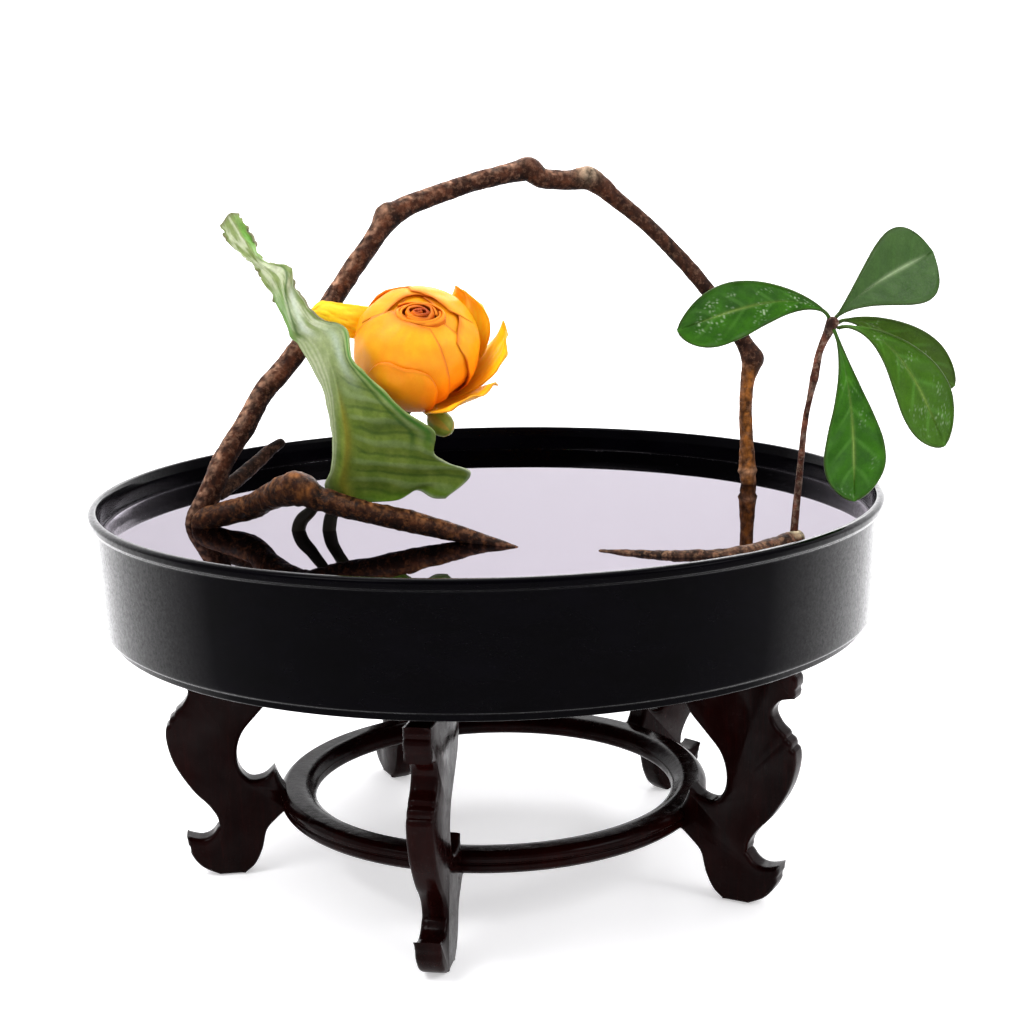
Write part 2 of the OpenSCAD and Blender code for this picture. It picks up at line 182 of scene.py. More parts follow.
def tube(name, route, tint, sides=24, step=1.0, radius=None, ends=(0.6, 0.6)):
    """A round limb along a route of [x, y, z, diameter] with heights counted from the water.

    radius(share, angle, point) gives a factor on the local radius. ends says how far each end
    domes out, as a share of its radius.
    """
    n = len(route)
    dense = [curve_at(route, i * (n - 1) / (n * 24)) for i in range(n * 24 + 1)]
    spans = [0.0]
    for a, b in zip(dense, dense[1:]):
        spans.append(spans[-1] + (Vector(b[:3]) - Vector(a[:3])).length)
    total = spans[-1]
    count = max(8, int(total / step))
    path, j = [], 0
    for i in range(count + 1):
        s = total * i / count
        while j < len(spans) - 2 and spans[j + 1] < s:
            j += 1
        t = (s - spans[j]) / max(spans[j + 1] - spans[j], 1e-9)
        path.append([lerp(dense[j][k], dense[j + 1][k], t) for k in range(4)])
    centres = [Vector((p[0], p[1], p[2] + WATER_Z)) for p in path]
    ways = []
    for i in range(count + 1):
        a, b = centres[max(i - 2, 0)], centres[min(i + 2, count)]
        ways.append((b - a).normalized())
    side = ways[0].orthogonal().normalized()
    points, tints, faces = [], [], []
    for i, c in enumerate(centres):
        side = (side - ways[i] * side.dot(ways[i])).normalized()
        up = ways[i].cross(side)
        share = i / count
        for k in range(sides):
            angle = 2 * pi * k / sides
            out = side * cos(angle) + up * sin(angle)
            r = path[i][3] / 2 * (radius(share, angle, c + out * path[i][3] / 2) if radius else 1)
            p = c + out * r
            points.append(p)
            tints.append(tint(share, angle, p, out))
    for i in range(count):
        for k in range(sides):
            a, b = i * sides + k, i * sides + (k + 1) % sides
            faces.append((a, b, b + sides, a + sides))
    for ring, way, dome, first in ((0, -ways[0], ends[0], True),
                                   (count, ways[-1], ends[1], False)):
        base = [ring * sides + k for k in range(sides)]
        r = path[ring][3] / 2
        for h, w in ((0.55, 0.8), (0.85, 0.45)):
            new = []
            for k in range(sides):
                old = points[ring * sides + k]
                new.append(len(points))
                points.append(centres[ring] + (old - centres[ring]) * w + way * r * dome * h)
                tints.append(tints[ring * sides + k])
            for k in range(sides):
                m = (k + 1) % sides
                f = (base[k], base[m], new[m], new[k])
                faces.append(f[::-1] if first else f)
            base = new
        tip = len(points)
        points.append(centres[ring] + way * r * dome)
        tints.append(tints[ring * sides])
        for k in range(sides):
            f = (base[k], base[(k + 1) % sides], tip)
            faces.append(f[::-1] if first else f)
    return mesh(name, points, faces, tints)


def sheet(name, surface, rows, cols, thick, tint):
    """A thin closed skin from surface(u, v), u from 0 to 1 and v from -1 to 1.

    surface gives the front side. thick(u, v) is its thickness in millimetres. Both sides take
    their colour from tint(u, v, point).
    """
    grid = [[Vector(surface(i / rows, 2 * k / cols - 1)) for k in range(cols + 1)]
            for i in range(rows + 1)]
    front, back, tints = [], [], []
    for i in range(rows + 1):
        for k in range(cols + 1):
            du = grid[min(i + 1, rows)][k] - grid[max(i - 1, 0)][k]
            dv = grid[i][min(k + 1, cols)] - grid[i][max(k - 1, 0)]
            normal = du.cross(dv)
            normal = normal.normalized() if normal.length > 1e-9 else Vector((0, -1, 0))
            u, v = i / rows, 2 * k / cols - 1
            p = grid[i][k]
            front.append(p)
            back.append(p - normal * thick(u, v))
            tints.append(tint(u, v, p))
    wide = cols + 1
    faces = []
    area = len(front)
    for i in range(rows):
        for k in range(cols):
            a = i * wide + k
            faces.append((a, a + wide, a + wide + 1, a + 1))
            faces.append((a + area, a + 1 + area, a + wide + 1 + area, a + wide + area))
    loop = (list(range(wide)) + [i * wide + cols for i in range(1, rows + 1)]
            + [rows * wide + k for k in range(cols - 1, -1, -1)]
            + [i * wide for i in range(rows - 1, 0, -1)])
    for a, b in zip(loop, loop[1:] + loop[:1]):
        faces.append((a, b, b + area, a + area))
    return mesh(name, front + back, faces, tints * 2)


# ------------------------------------------------------------------ materials

class Paint:
    """A Principled material with helpers for the nodes that vary it over the surface."""

    def __init__(self, name, rough=0.5, spec=0.5, **constants):
        self.material = bpy.data.materials.new(name)
        self.material.use_nodes = True
        self.tree = self.material.node_tree
        self.bsdf = self.tree.nodes["Principled BSDF"]
        self.set("Roughness", rough)
        self.set("Specular IOR Level", spec)
        for key, value in constants.items():
            self.set(key.replace("_", " "), value)
        self.coord = self.add("ShaderNodeTexCoord").outputs["Object"]
        self.normal = None

    def set(self, socket, value):
        self.bsdf.inputs[socket].default_value = value

    def add(self, kind, **inputs):
        node = self.tree.nodes.new(kind)
        for key, value in inputs.items():
            self.put(node.inputs[key.replace("_", " ")], value)
        return node

    def put(self, socket, value):
        if isinstance(value, bpy.types.NodeSocket):
            self.tree.links.new(value, socket)
        else:
            socket.default_value = value

    def where(self, stretch):
        return self.add("ShaderNodeMapping", Vector=self.coord,
                        Scale=Vector([1 / s for s in stretch])).outputs[0]

    def noise(self, size, detail=4, stretch=(1, 1, 1), rough=0.6, warp=0.0):
        """Noise from 0 to 1 with features of `size` mm; stretch lengthens them along an axis."""
        node = self.add("ShaderNodeTexNoise", Vector=self.where(stretch), Scale=1 / (size * MM),
                        Detail=detail, Roughness=rough, Distortion=warp)
        return node.outputs["Fac"]

    def cells(self, size, stretch=(1, 1, 1)):
        """Distance to the middle of the nearest cell of `size` mm."""
        node = self.add("ShaderNodeTexVoronoi", Vector=self.where(stretch), Scale=1 / (size * MM))
        return node.outputs["Distance"]

    def ramp(self, fac, *stops):
        """A colour ramp: stops are (position, grey or colour)."""
        node = self.add("ShaderNodeValToRGB", Fac=fac)
        while len(node.color_ramp.elements) < len(stops):
            node.color_ramp.elements.new(0.5)
        for element, (at, colour) in zip(node.color_ramp.elements, stops):
            element.position = at
            if not isinstance(colour, tuple):
                colour = (colour, colour, colour)
            element.color = (*colour, 1)
        return node.outputs["Color"]

    def range(self, fac, low, high):
        """Noise's middle part, 0.3 to 0.7, spread over low to high."""
        node = self.add("ShaderNodeMapRange", Value=fac)
        node.inputs["From Min"].default_value = 0.3
        node.inputs["From Max"].default_value = 0.7
        node.inputs["To Min"].default_value = low
        node.inputs["To Max"].default_value = high
        return node.outputs["Result"]

    def tint(self):
        node = self.tree.nodes.new("ShaderNodeAttribute")
        node.attribute_name = "tint"
        return node.outputs["Color"]

    def blend(self, a, b, fac, mode="MIX"):
        node = self.tree.nodes.new("ShaderNodeMix")
        node.data_type = "RGBA"
        node.blend_type = mode
        self.put(node.inputs["Factor"], fac)
        self.put(node.inputs[6], a)
        self.put(node.inputs[7], b)
        return node.outputs[2]

    def colour(self, value):
        self.put(self.bsdf.inputs["Base Color"], value)

    def rough(self, value):
        self.put(self.bsdf.inputs["Roughness"], value)

    def bump(self, height, strength, depth):
        node = self.add("ShaderNodeBump", Height=height, Strength=strength, Distance=depth * MM)
        if self.normal:
            self.tree.links.new(self.normal, node.inputs["Normal"])
        self.normal = node.outputs["Normal"]
        self.tree.links.new(self.normal, self.bsdf.inputs["Normal"])


def make_rosewood():
    p = Paint("rosewood", spec=0.025, Coat_Roughness=0.1)
    grain = p.noise(1.4, 5, stretch=(1, 1, 14), warp=0.6)
    broad = p.noise(14, 2, stretch=(1, 1, 3))
    tone = p.ramp(grain, (0.3, (0.0014, 0.0004, 0.0004)), (0.55, (0.0032, 0.0006, 0.0006)),
                  (0.78, (0.010, 0.0014, 0.0012)))
    p.colour(p.blend(tone, (0.013, 0.0014, 0.0010, 1), p.range(broad, 0.0, 0.5)))
    p.rough(p.range(p.noise(5, 3), 0.12, 0.3))
    p.put(p.bsdf.inputs["Coat Weight"], p.range(p.noise(18, 3), 0.0, 0.07))
    p.bump(grain, 0.25, 0.12)
    p.bump(p.noise(9, 2), 0.3, 0.6)
    return p.material


def make_lacquer():
    p = Paint("black_lacquer", spec=0.02, Coat_IOR=1.45, Coat_Roughness=0.07)
    broad = p.noise(22, 3, stretch=(1, 1, 0.5))
    p.colour(p.ramp(broad, (0.3, (0.0002, 0.0001, 0.0004)), (0.75, (0.0008, 0.0006, 0.0014))))
    p.rough(p.range(p.noise(12, 5, stretch=(2, 2, 0.5)), 0.12, 0.24))
    facing = p.add("ShaderNodeLayerWeight", Blend=0.5).outputs["Facing"]
    frost = p.range(p.noise(1.3, 4, rough=0.8), 0.35, 1.2)
    edge = p.ramp(facing, (0.35, 0.0), (0.85, 0.9))
    p.put(p.bsdf.inputs["Coat Weight"], p.blend(edge, frost, 1.0, "MULTIPLY"))
    p.bump(p.noise(30, 2), 0.06, 1.0)
    p.bump(p.noise(0.8, 2), 0.03, 0.05)
    return p.material


def make_raw_wood():
    p = Paint("dowel_wood", spec=0.3)
    grain = p.noise(0.8, 5, stretch=(1, 1, 9))
    p.colour(p.ramp(grain, (0.3, (0.30, 0.16, 0.07)), (0.7, (0.52, 0.32, 0.16))))
    p.rough(p.range(grain, 0.5, 0.75))
    p.bump(grain, 0.4, 0.1)
    return p.material


def make_metal(name, metallic, low, high, stain, dull, gloss, grain, *bump):
    """A metal from one colour to another by its stain, with uneven gloss and a fine grain."""
    p = Paint(name, Metallic=metallic)
    p.colour(p.ramp(p.noise(*stain), (0.3, low), (0.7, high)))
    p.rough(p.range(p.noise(*dull), *gloss))
    p.bump(p.noise(*grain), *bump)
    return p.material


def make_rubber():
    p = Paint("frog_rubber", spec=0.3)
    dust = p.noise(4, 4)
    p.colour(p.ramp(dust, (0.3, (0.008, 0.022, 0.014)), (0.75, (0.035, 0.060, 0.045))))
    p.rough(p.range(dust, 0.55, 0.8))
    p.bump(p.noise(0.6, 3), 0.3, 0.06)
    return p.material


def make_bark(name, lichen, gloss, amount=0.5):
    """Bark: the mesh's own tint, broken up by grain, speckle, furrows and pale lichen."""
    p = Paint(name, spec=0.08)
    speckle = p.noise(2.4, 4, rough=0.75)
    patch = p.noise(2.6, 4, warp=0.5)
    broad = p.noise(7, 3, stretch=(1, 1, 1.6), warp=0.4)
    furrow = p.cells(2.2, stretch=(1, 1, 1.6))
    dark = p.blend(p.tint(), (0.008, 0.0035, 0.0025, 1), p.range(patch, 0.78, 0.0))
    dark = p.blend(dark, (0.006, 0.003, 0.002, 1), p.ramp(furrow, (0.42, 0.0), (0.78, 0.6)))
    dark = p.blend(dark, p.ramp(broad, (0.36, (0.40, 0.36, 0.35)), (0.62, (1.5, 1.45, 1.4))), 0.85,
                   "MULTIPLY")
    pale = p.blend(dark, lichen, p.ramp(speckle, (0.50, 0.0), (0.70, amount)))
    p.colour(pale)
    p.rough(p.range(patch, gloss, gloss + 0.3))
    p.bump(patch, 0.8, 0.6)
    p.bump(speckle, 0.9, 0.3)
    return p.material


def make_leaf(name, rough, spec, fine, depth, spots=0.0):
    """A leaf: the mesh's own tint, fine fibres and, if it is waxy, a broken-up shine."""
    p = Paint(name, spec=spec, Subsurface_Weight=0.06, Subsurface_Scale=0.0015)
    p.set("Subsurface Radius", (0.5, 1.0, 0.2))
    fibre = p.noise(fine, 5, rough=0.7)
    broad = p.noise(6, 3)
    toned = p.blend(p.tint(), p.ramp(fibre, (0.3, 0.55), (0.7, 1.0)), 0.6, "MULTIPLY")
    p.colour(p.blend(toned, p.ramp(broad, (0.3, (0.72, 0.80, 0.62)), (0.7, (1.0, 1.0, 1.0))),
                     0.6, "MULTIPLY"))
    rough_map = p.range(fibre, rough, rough + 0.2)
    if spots:
        rough_map = p.range(p.noise(0.7, 3, rough=0.8), rough - 0.14, rough + 0.3)
    p.rough(rough_map)
    p.bump(fibre, 0.5, depth)
    if spots:
        p.bump(p.noise(1.3, 3), spots, 0.25)
    return p.material


def make_petal():
    p = Paint("petal", rough=0.5, spec=0.22, Subsurface_Weight=0.2, Subsurface_Scale=0.003)
    p.set("Subsurface Radius", (1.0, 0.4, 0.05))
    fibre = p.noise(0.8, 4, rough=0.6)
    broad = p.noise(6, 3)
    toned = p.blend(p.tint(), p.ramp(broad, (0.3, (0.97, 0.74, 0.42)), (0.7, (1.0, 1.0, 1.0))),
                    0.55, "MULTIPLY")
    p.colour(p.blend(toned, p.ramp(fibre, (0.3, (0.95, 0.86, 0.7)), (0.7, (1.0, 1.0, 1.0))),
                     0.6, "MULTIPLY"))
    p.rough(p.range(fibre, 0.36, 0.58))
    p.bump(broad, 0.3, 0.6)
    p.bump(fibre, 0.25, 0.08)
    return p.material


def make_water():
    """A still surface: a mirror at a low angle, and partly see-through from above."""
    p = Paint("water", rough=0.02, spec=0.5, Metallic=1.0)
    p.set("Base Color", (0.44, 0.415, 0.45, 1))
    p.set("Specular Tint", (0.55, 0.53, 0.56, 1))
    facing = p.add("ShaderNodeLayerWeight", Blend=0.5).outputs["Facing"]
    p.put(p.bsdf.inputs["Alpha"], p.ramp(facing, (0.0, 0.22), (0.45, 0.5), (0.72, 1.0)))
    p.bump(p.noise(60, 2), 0.05, 0.8)
    return p.material


def make_floor():
    p = Paint("floor", rough=0.9, spec=0.05)
    p.colour(p.ramp(p.noise(120, 2), (0.3, (0.91, 0.91, 0.915)), (0.7, (0.93, 0.93, 0.935))))
    p.set("Emission Color", (1.0, 0.99, 1.0, 1))
    p.set("Emission Strength", 0.42)
    return p.material


ROSEWOOD = make_rosewood()
LACQUER = make_lacquer()
RAW_WOOD = make_raw_wood()
CAST = make_metal("frog_metal", 0.85, (0.09, 0.10, 0.10), (0.26, 0.27, 0.28), (7, 4), (3, 4),
                  (0.42, 0.7), (0.9, 4), 0.5, 0.15)
BRASS = make_metal("pin_brass", 1.0, (0.42, 0.26, 0.08), (0.72, 0.50, 0.18), (2.5, 3), (1.0, 3),
                   (0.18, 0.38), (0.5, 3), 0.2, 0.04)
RUBBER = make_rubber()
BARK = make_bark("bark", (0.30, 0.155, 0.095, 1), 0.42, 0.38)
DARK_BARK = make_bark("dark_bark", (0.24, 0.09, 0.03, 1), 0.32, 0.42)
LOG_BARK = make_bark("log_bark", (0.36, 0.20, 0.11, 1), 0.45, 0.6)
TWIG_BARK = make_bark("twig_bark", (0.42, 0.30, 0.22, 1), 0.38, 0.5)
BROAD_LEAF = make_leaf("broad_leaf", 0.42, 0.16, 1.3, 0.12)
GREEN_STEM = make_leaf("green_stem", 0.38, 0.2, 1.0, 0.10)
WAXY_LEAF = make_leaf("sprig_leaf", 0.36, 0.14, 0.9, 0.10, spots=0.5)
PETAL = make_petal()
WATER = make_water()

for node, material in {
        "top_frame": ROSEWOOD, "top_panel": ROSEWOOD, "frame_dowels": RAW_WOOD,
        "ring_dowels": RAW_WOOD, "main_frog_base": CAST, "side_frog_base": CAST,
        "main_frog_pins": BRASS, "side_frog_pins": BRASS, "main_frog_rubber_ring": RUBBER,
        "side_frog_rubber_ring": RUBBER}.items():
    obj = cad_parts[node]
    obj.data.materials.clear()
    obj.data.materials.append(material)


# ------------------------------------------------------------------ dish and water

def make_dish():
    rim, foot = 150.0, 144.4
    outer_foot, wall = 146.8, 3.4
    z0, z1 = DISH_Z, RIM_Z
    profile = rounded([
        (0, z0 + 1.2, 0), (foot - 7, z0 + 1.2, 0.6), (foot - 6, z0, 0.5), (foot, z0, 0.8),
        (foot + 0.2, z0 + 2.6, 0.6), (outer_foot - 0.2, z0 + 3.2, 1.0),
        (outer_foot, z0 + 5.2, 1.0),
        (rim - 1.5, z1 - 4.6, 0.5), (rim - 1.1, z1 - 4.0, 0.4), (rim - 0.1, z1 - 3.2, 0.9),
        (rim, z1 - 0.9, 1.4), (rim - 1.2, z1, 1.2), (rim - 2.9, z1, 0.9),
        (rim - wall, z1 - 1.2, 0.8), (rim - wall - 0.6, z1 - 4.0, 0.6),
        (outer_foot - wall, z0 + DISH_FLOOR + 3, 2.4),
        (outer_foot - wall - 3.4, z0 + DISH_FLOOR, 2.4), (0, z0 + DISH_FLOOR, 0)], 6)
    place(lathe("dish_shell", profile, 256, sharp=50), "dish_body", "black_lacquer", LACQUER,
          "dish")


def make_water_disc():
    """The water's skin, with its edge drawn up a little at the wall."""
    edge = 145.3
    profile = [(0, WATER_Z), (edge - 6, WATER_Z), (edge - 2.5, WATER_Z + 0.08),
               (edge - 1, WATER_Z + 0.3), (edge, WATER_Z + 0.8), (edge - 0.3, WATER_Z - 0.6),
               (edge - 5, WATER_Z - 0.7), (0, WATER_Z - 0.7)]
    place(lathe("water_surface", profile, 192), "dish_body", "water", WATER)


# ------------------------------------------------------------------ stand

FRAME_Z = 93.5
RING_Z, RING_H, RING_R, RING_W = 25.0, 8.4, 84.0, 13.8

LEG_STROKES = [
    [[80, FRAME_Z], [126, FRAME_Z]],
    [[126, FRAME_Z], [127, 87], [126, 81]],
    [[126, 81], [120.5, 79.5], [117.5, 75], [119.5, 70], [124, 65.5], [126.8, 58.5], [124.5, 47],
     [118, 35.5], [111.5, 28], [108.5, 22], [110.5, 17], [115, 15], [121, 16.5]],
    [[121, 16.5], [119.5, 9], [115.5, 3.5], [109, 0]],
    [[109, 0], [99, 0]],
    [[99, 0], [95, 3.5], [92, 9.5], [90, 17], [86, 21.5], [82, RING_Z]],
    [[82, RING_Z], [82, RING_Z + RING_H]],
    [[82, RING_Z + RING_H], [84, 37], [85.8, 42]],
    [[85.8, 42], [90, 38.5], [95.5, 38], [99.5, 43], [100, 50], [97.5, 57.5], [91, 65],
     [85, 72], [81, 82], [80, FRAME_Z]]]
LEG_T = 9.5


def leg_outline(steps=8):
    out = []
    for stroke in LEG_STROKES:
        n = (len(stroke) - 1) * (steps if len(stroke) > 2 else 4)
        out += [curve_at(stroke, (len(stroke) - 1) * i / n) for i in range(n)]
    return [Vector(p) for p in out]


def make_leg(i):
    """A sawn leg with rounded edges: the outline in thin slices, drawn in towards both faces."""
    flat = leg_outline()
    n = len(flat)
    inward = []
    for k in range(n):
        along = (flat[(k + 1) % n] - flat[k - 1]).normalized()
        inward.append(Vector((-along.y, along.x)))
    area = sum(flat[k].x * flat[(k + 1) % n].y - flat[(k + 1) % n].x * flat[k].y
               for k in range(n))
    if area < 0:
        inward = [-v for v in inward]
    room = []
    for k in range(n):
        best = 4.0
        for m in range(n):
            gap = flat[m] - flat[k]
            ahead = gap.dot(inward[k])
            if ahead > 1e-6:
                best = min(best, gap.length_squared / (2 * ahead))
        room.append(best * 0.85)
    carved = [0.7 * sum(dip(p.y, h, 0.7) for h in (89.5, 84, 66, 62.5, 20, 11.5))
              if p.x > lerp(101, 108, clamp((p.y - 15) / 60)) else 0.0 for p in flat]
    half = LEG_T / 2
    slices = [(-half, 1.3), (-half + 0.35, 0.55), (-half + 1.2, 0.05), (-half + 2.6, 0.0),
              (0, 0.0), (half - 2.6, 0.0), (half - 1.2, 0.05), (half - 0.35, 0.55), (half, 1.3)]
    points, faces = [], []
    for y, inset in slices:
        for k in range(n):
            q = flat[k] + inward[k] * min(inset + carved[k], room[k])
            if q.y < 0:
                q.y = 0.0
            points.append((q.x, y, q.y))
    for s in range(len(slices) - 1):
        for k in range(n):
            a, b = s * n + k, s * n + (k + 1) % n
            faces.append((a, a + n, b + n, b))
    faces.append(tuple(range(n)))
    faces.append(tuple(reversed(range((len(slices) - 1) * n, len(slices) * n))))
    turn = Matrix.Rotation(radians(LEG_ANGLES[i] - 90), 3, "Z")
    points = [turn @ Vector(p) for p in points]
    name = "leg_%d" % (i + 1)
    place(mesh(name + "_carved", points, faces, sharp=38), "stand", "rosewood", ROSEWOOD, name)


def make_ring():
    a, b, z, h = RING_R - RING_W, RING_R, RING_Z, RING_H
    profile = rounded([
        (a, z + 1.6, 1.6), (a + 2.4, z, 2.0), (b - 2.2, z, 1.2), (b - 1.2, z + 0.7, 0.6),
        (b, z + 1.9, 0.9), (b, z + 3.6, 0.6), (b - 0.9, z + 4.2, 0.5), (b, z + 4.8, 0.6),
        (b, z + h - 2.0, 0.9), (b - 1.0, z + h - 0.8, 0.6), (b - 2.2, z + h, 1.0),
        (a + 4.2, z + h, 3.0), (a, z + h - 3.4, 3.2)], 5)
    place(lathe("ring_turned", profile, 224, sharp=45), "stand", "rosewood", ROSEWOOD,
          "ring_stretcher")


# ------------------------------------------------------------------ branches

FROG_GAP, FLOOR_GAP = 0.5, 3     # under the stems' feet, and under the arch's other end
STEM_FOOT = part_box("main_frog_base")[1].z / MM + FROG_GAP - WATER_Z
ARCH_FOOT = DISH_Z + DISH_FLOOR + FLOOR_GAP - WATER_Z

ARCH_ROUTE = [
    [-109.5, -11, STEM_FOOT, 8.4], [-110, -11, -7.5, 9.1], [-110, -11, 1, 9.3],
    [-104.5, -9.5, 12, 9], [-99, -7, 24.5, 8.6], [-91, -3, 36.5, 8.5], [-84, 2.5, 48.5, 8.3],
    [-75, 7.5, 58.5, 8.3], [-62, 12.5, 75.5, 8.2], [-50.5, 16.5, 92, 8], [-40.5, 19.5, 105.5, 8],
    [-36, 21.5, 112, 10], [-31, 22.5, 115, 8.8], [-24, 24.5, 118, 7.9], [-3.5, 30, 124.5, 7.4],
    [8, 33, 127, 7.8], [15, 35.5, 128.5, 8.8], [19, 36.5, 129, 9.7], [24, 37.5, 125.5, 8.4],
    [33.5, 39.5, 124.5, 8], [41.5, 40.5, 125, 9.2], [46.5, 41.5, 122.5, 8.5],
    [53.5, 43, 116.5, 6.7], [67.5, 45, 104.5, 6.1], [83.5, 45.5, 87.5, 6.2], [98, 46.5, 69, 6.2],
    [105, 48, 58, 7], [108, 48, 51, 8.6], [106.5, 48, 43, 6], [105.5, 47, 32, 5.4],
    [106, 47, 18, 5.8], [106.5, 47, 6, 7.2], [107, 47, -1, 6.3], [107, 47, -10, 6.2],
    [107, 47, ARCH_FOOT, 6]]
LOW_ROUTE = [
    [-108.5, -14.5, -1, 7.5], [-106, -16, 2.5, 9], [-99.5, -17.5, 5, 9.6],
    [-88.5, -19, 7.5, 9.6], [-81.5, -26, 12, 9.6], [-75.5, -32, 15.5, 11.2],
    [-69.5, -36.5, 17.5, 12.6], [-64.5, -39, 17, 11.6], [-60, -40.5, 14.5, 9.4],
    [-52.5, -42.5, 12.5, 8.8], [-41, -46, 10, 8.2], [-29.5, -47, 7.5, 8.4],
    [-14.5, -50, 4, 7], [-3, -53.5, 1.5, 5], [7, -59.5, 0, 3], [11, -62, -0.5, 1.8]]
TWIG_ROUTE = [
    [-102, -8, 11, 6.5], [-91, 2, 18.5, 5.8], [-84.5, 7.5, 24, 5], [-79.5, 10.5, 27, 3.5]]


def bark_radius(lumps, seed, rough=0.05):
    """Wrinkled bark with swellings: lumps are (point, reach, height), heights from the water."""
    spots = [(Vector((x, y, z + WATER_Z)), reach, high) for (x, y, z), reach, high in lumps]

    def radius(share, angle, p):
        q = Vector(p) + Vector((seed, 0, 0))
        r = 0.97 + rough * ripple(q, 5.0) + 0.35 * rough * ripple(q, 1.6)
        for spot, reach, high in spots:
            r += high * exp(-((p - spot).length / reach) ** 2)
        return r
    return radius


def make_arch():
    lumps = [
        ((-39, 18, 115), 2.8, 0.34), ((-36, 19, 117), 1.8, 0.22), ((19.5, 32.5, 132), 2.4, 0.34),
        ((17, 33, 131), 1.6, 0.14), ((42.5, 36.5, 128), 3.0, 0.34), ((38.5, 36.5, 128), 1.8, 0.2),
        ((47, 38, 126), 1.8, 0.14), ((111, 46, 52), 3.0, 0.28), ((108, 44, 50), 2.2, 0.12),
        ((-89.5, 0.5, 33), 4.0, 0.14), ((-78, 4, 53), 3.6, 0.12), ((-101, -12, 20), 3.4, 0.12),
        ((-56.5, 11, 81), 2.4, 0.14), ((-46, 15, 99), 2.0, 0.12), ((4, 28, 128.5), 2.2, 0.12),
        ((-14, 24, 124), 2.0, 0.10), ((69, 43, 104), 2.0, 0.10), ((85.5, 43, 88.5), 2.2, 0.12)]
    base = bark_radius(lumps, 0, 0.06)

    def radius(share, angle, p):
        r = base(share, angle, p)
        h = p.z - WATER_Z
        if p.x > 90:
            r += 0.14 * dip(h, 5.5, 0.8) - 0.08 * dip(h, 3.8, 0.6)
            r += 0.05 * dip(h, 27, 0.6) + 0.05 * dip(h, 36, 0.6)
        return r

    def tint(share, angle, p, out):
        h = p.z - WATER_Z
        tone = shade(p, 5.0)
        # lit grows where a point faces up and to the left, towards the key light: the pale patches
        # on that side are a painted highlight, and the near-black on the side turned away is
        # painted shade
        lit = 0.5 + 0.5 * (0.75 * out.z - 0.6 * out.x)
        c = mix((0.046, 0.015, 0.008), (0.120, 0.042, 0.020), tone)
        patch = smooth(0.34, 0.66, shade(p, 2.8))
        c = mix(c, (0.56, 0.32, 0.21), 0.9 * smooth(0.50, 0.80, lit) * patch)
        c = mix(c, (0.012, 0.004, 0.003), 0.94 * smooth(0.42, 0.12, lit))
        if p.x > 45:
            c = mix(c, (0.030, 0.013, 0.008), 0.6 * smooth(45, 75, p.x))
            warm = smooth(86, 104, p.x) * smooth(52, 44, h)
            # the orange is weaker where the limb turns to the left and right: painted shade at its
            # sides
            side = smooth(-0.75, 0.0, -abs(out.x))
            c = mix(c, (0.56, 0.20, 0.035), 0.95 * warm * (0.5 + 0.5 * tone) * (0.45 + 0.55 * side))
            # a pale band round the swelling at the right foot: a painted highlight on the node
            c = mix(c, (0.42, 0.24, 0.14), 0.7 * dip(h, 5.5, 1.8) * smooth(86, 100, p.x))
            c = mix(c, (0.016, 0.007, 0.005), smooth(2.8, -0.5, h) * 0.9)
        if p.x < -75:
            c = mix(c, (0.020, 0.009, 0.006), smooth(14, -2, h) * 0.75)
        for at, reach, colour in (((42.5, 36, 128), 3.6, (0.85, 0.68, 0.48)),
                                  ((19.5, 32, 132), 2.6, (0.10, 0.045, 0.03)),
                                  ((-39, 18, 115), 3.0, (0.17, 0.10, 0.07))):
            near = dip((p - Vector((at[0], at[1], at[2] + WATER_Z))).length, 0, reach)
            c = mix(c, colour, 0.9 * near)
        return c

    place(tube("arch_limb", ARCH_ROUTE, tint, 32, 0.8, radius, ends=(0.15, 0.2)),
          "branch", "bark", BARK, "arch_branch")


def make_low_limb():
    lumps = [
        ((-70.5, -40.5, 22), 4.0, 0.24), ((-65, -43, 20), 3.0, 0.26), ((-76, -35, 19), 3.0, 0.16),
        ((-67.5, -42, 23), 1.8, 0.16), ((-62.5, -44, 16), 2.0, 0.16), ((-90, -22, 11), 4.0, 0.12),
        ((-82, -29, 15), 2.4, 0.14), ((-46, -48.5, 14), 3.2, 0.10), ((-27, -50.5, 10.5), 2.4, 0.10)]
    base = bark_radius(lumps, 40, 0.08)

    def radius(share, angle, p):
        return base(share, angle, p) - 0.12 * dip(p.x, -59.5, 1.6)

    def tint(share, angle, p, out):
        tone = shade(p, 3.6)
        lit = 0.5 + 0.5 * (0.85 * out.z - 0.35 * out.x)
        c = mix((0.016, 0.005, 0.003), (0.080, 0.026, 0.010), tone)
        knot = dip((p - Vector((-68.5, -41, 20 + WATER_Z))).length, 0, 8.5)
        c = mix(c, (0.34, 0.125, 0.028), 0.85 * knot * smooth(0.35, 0.7, tone))
        patch = smooth(0.42, 0.70, shade(p, 1.8))
        # lit grows where a point faces up and a little left, towards the key light: the pale
        # patches there are a painted highlight, and the near-black underside is painted shade
        c = mix(c, (0.30, 0.13, 0.050), 0.8 * smooth(0.55, 0.9, lit) * patch)
        c = mix(c, (0.006, 0.002, 0.0015), 0.95 * smooth(0.62, 0.32, lit))
        # a dark ring in the groove behind the knot: painted shade
        c = mix(c, (0.010, 0.004, 0.003), 0.85 * dip(p.x, -59.5, 1.8))
        return mix(c, (0.30, 0.15, 0.11), 0.4 * smooth(-20, 6, p.x) * patch)

    place(tube("low_limb", LOW_ROUTE, tint, 32, 0.7, radius), "branch", "bark", DARK_BARK,
          "low_branch")


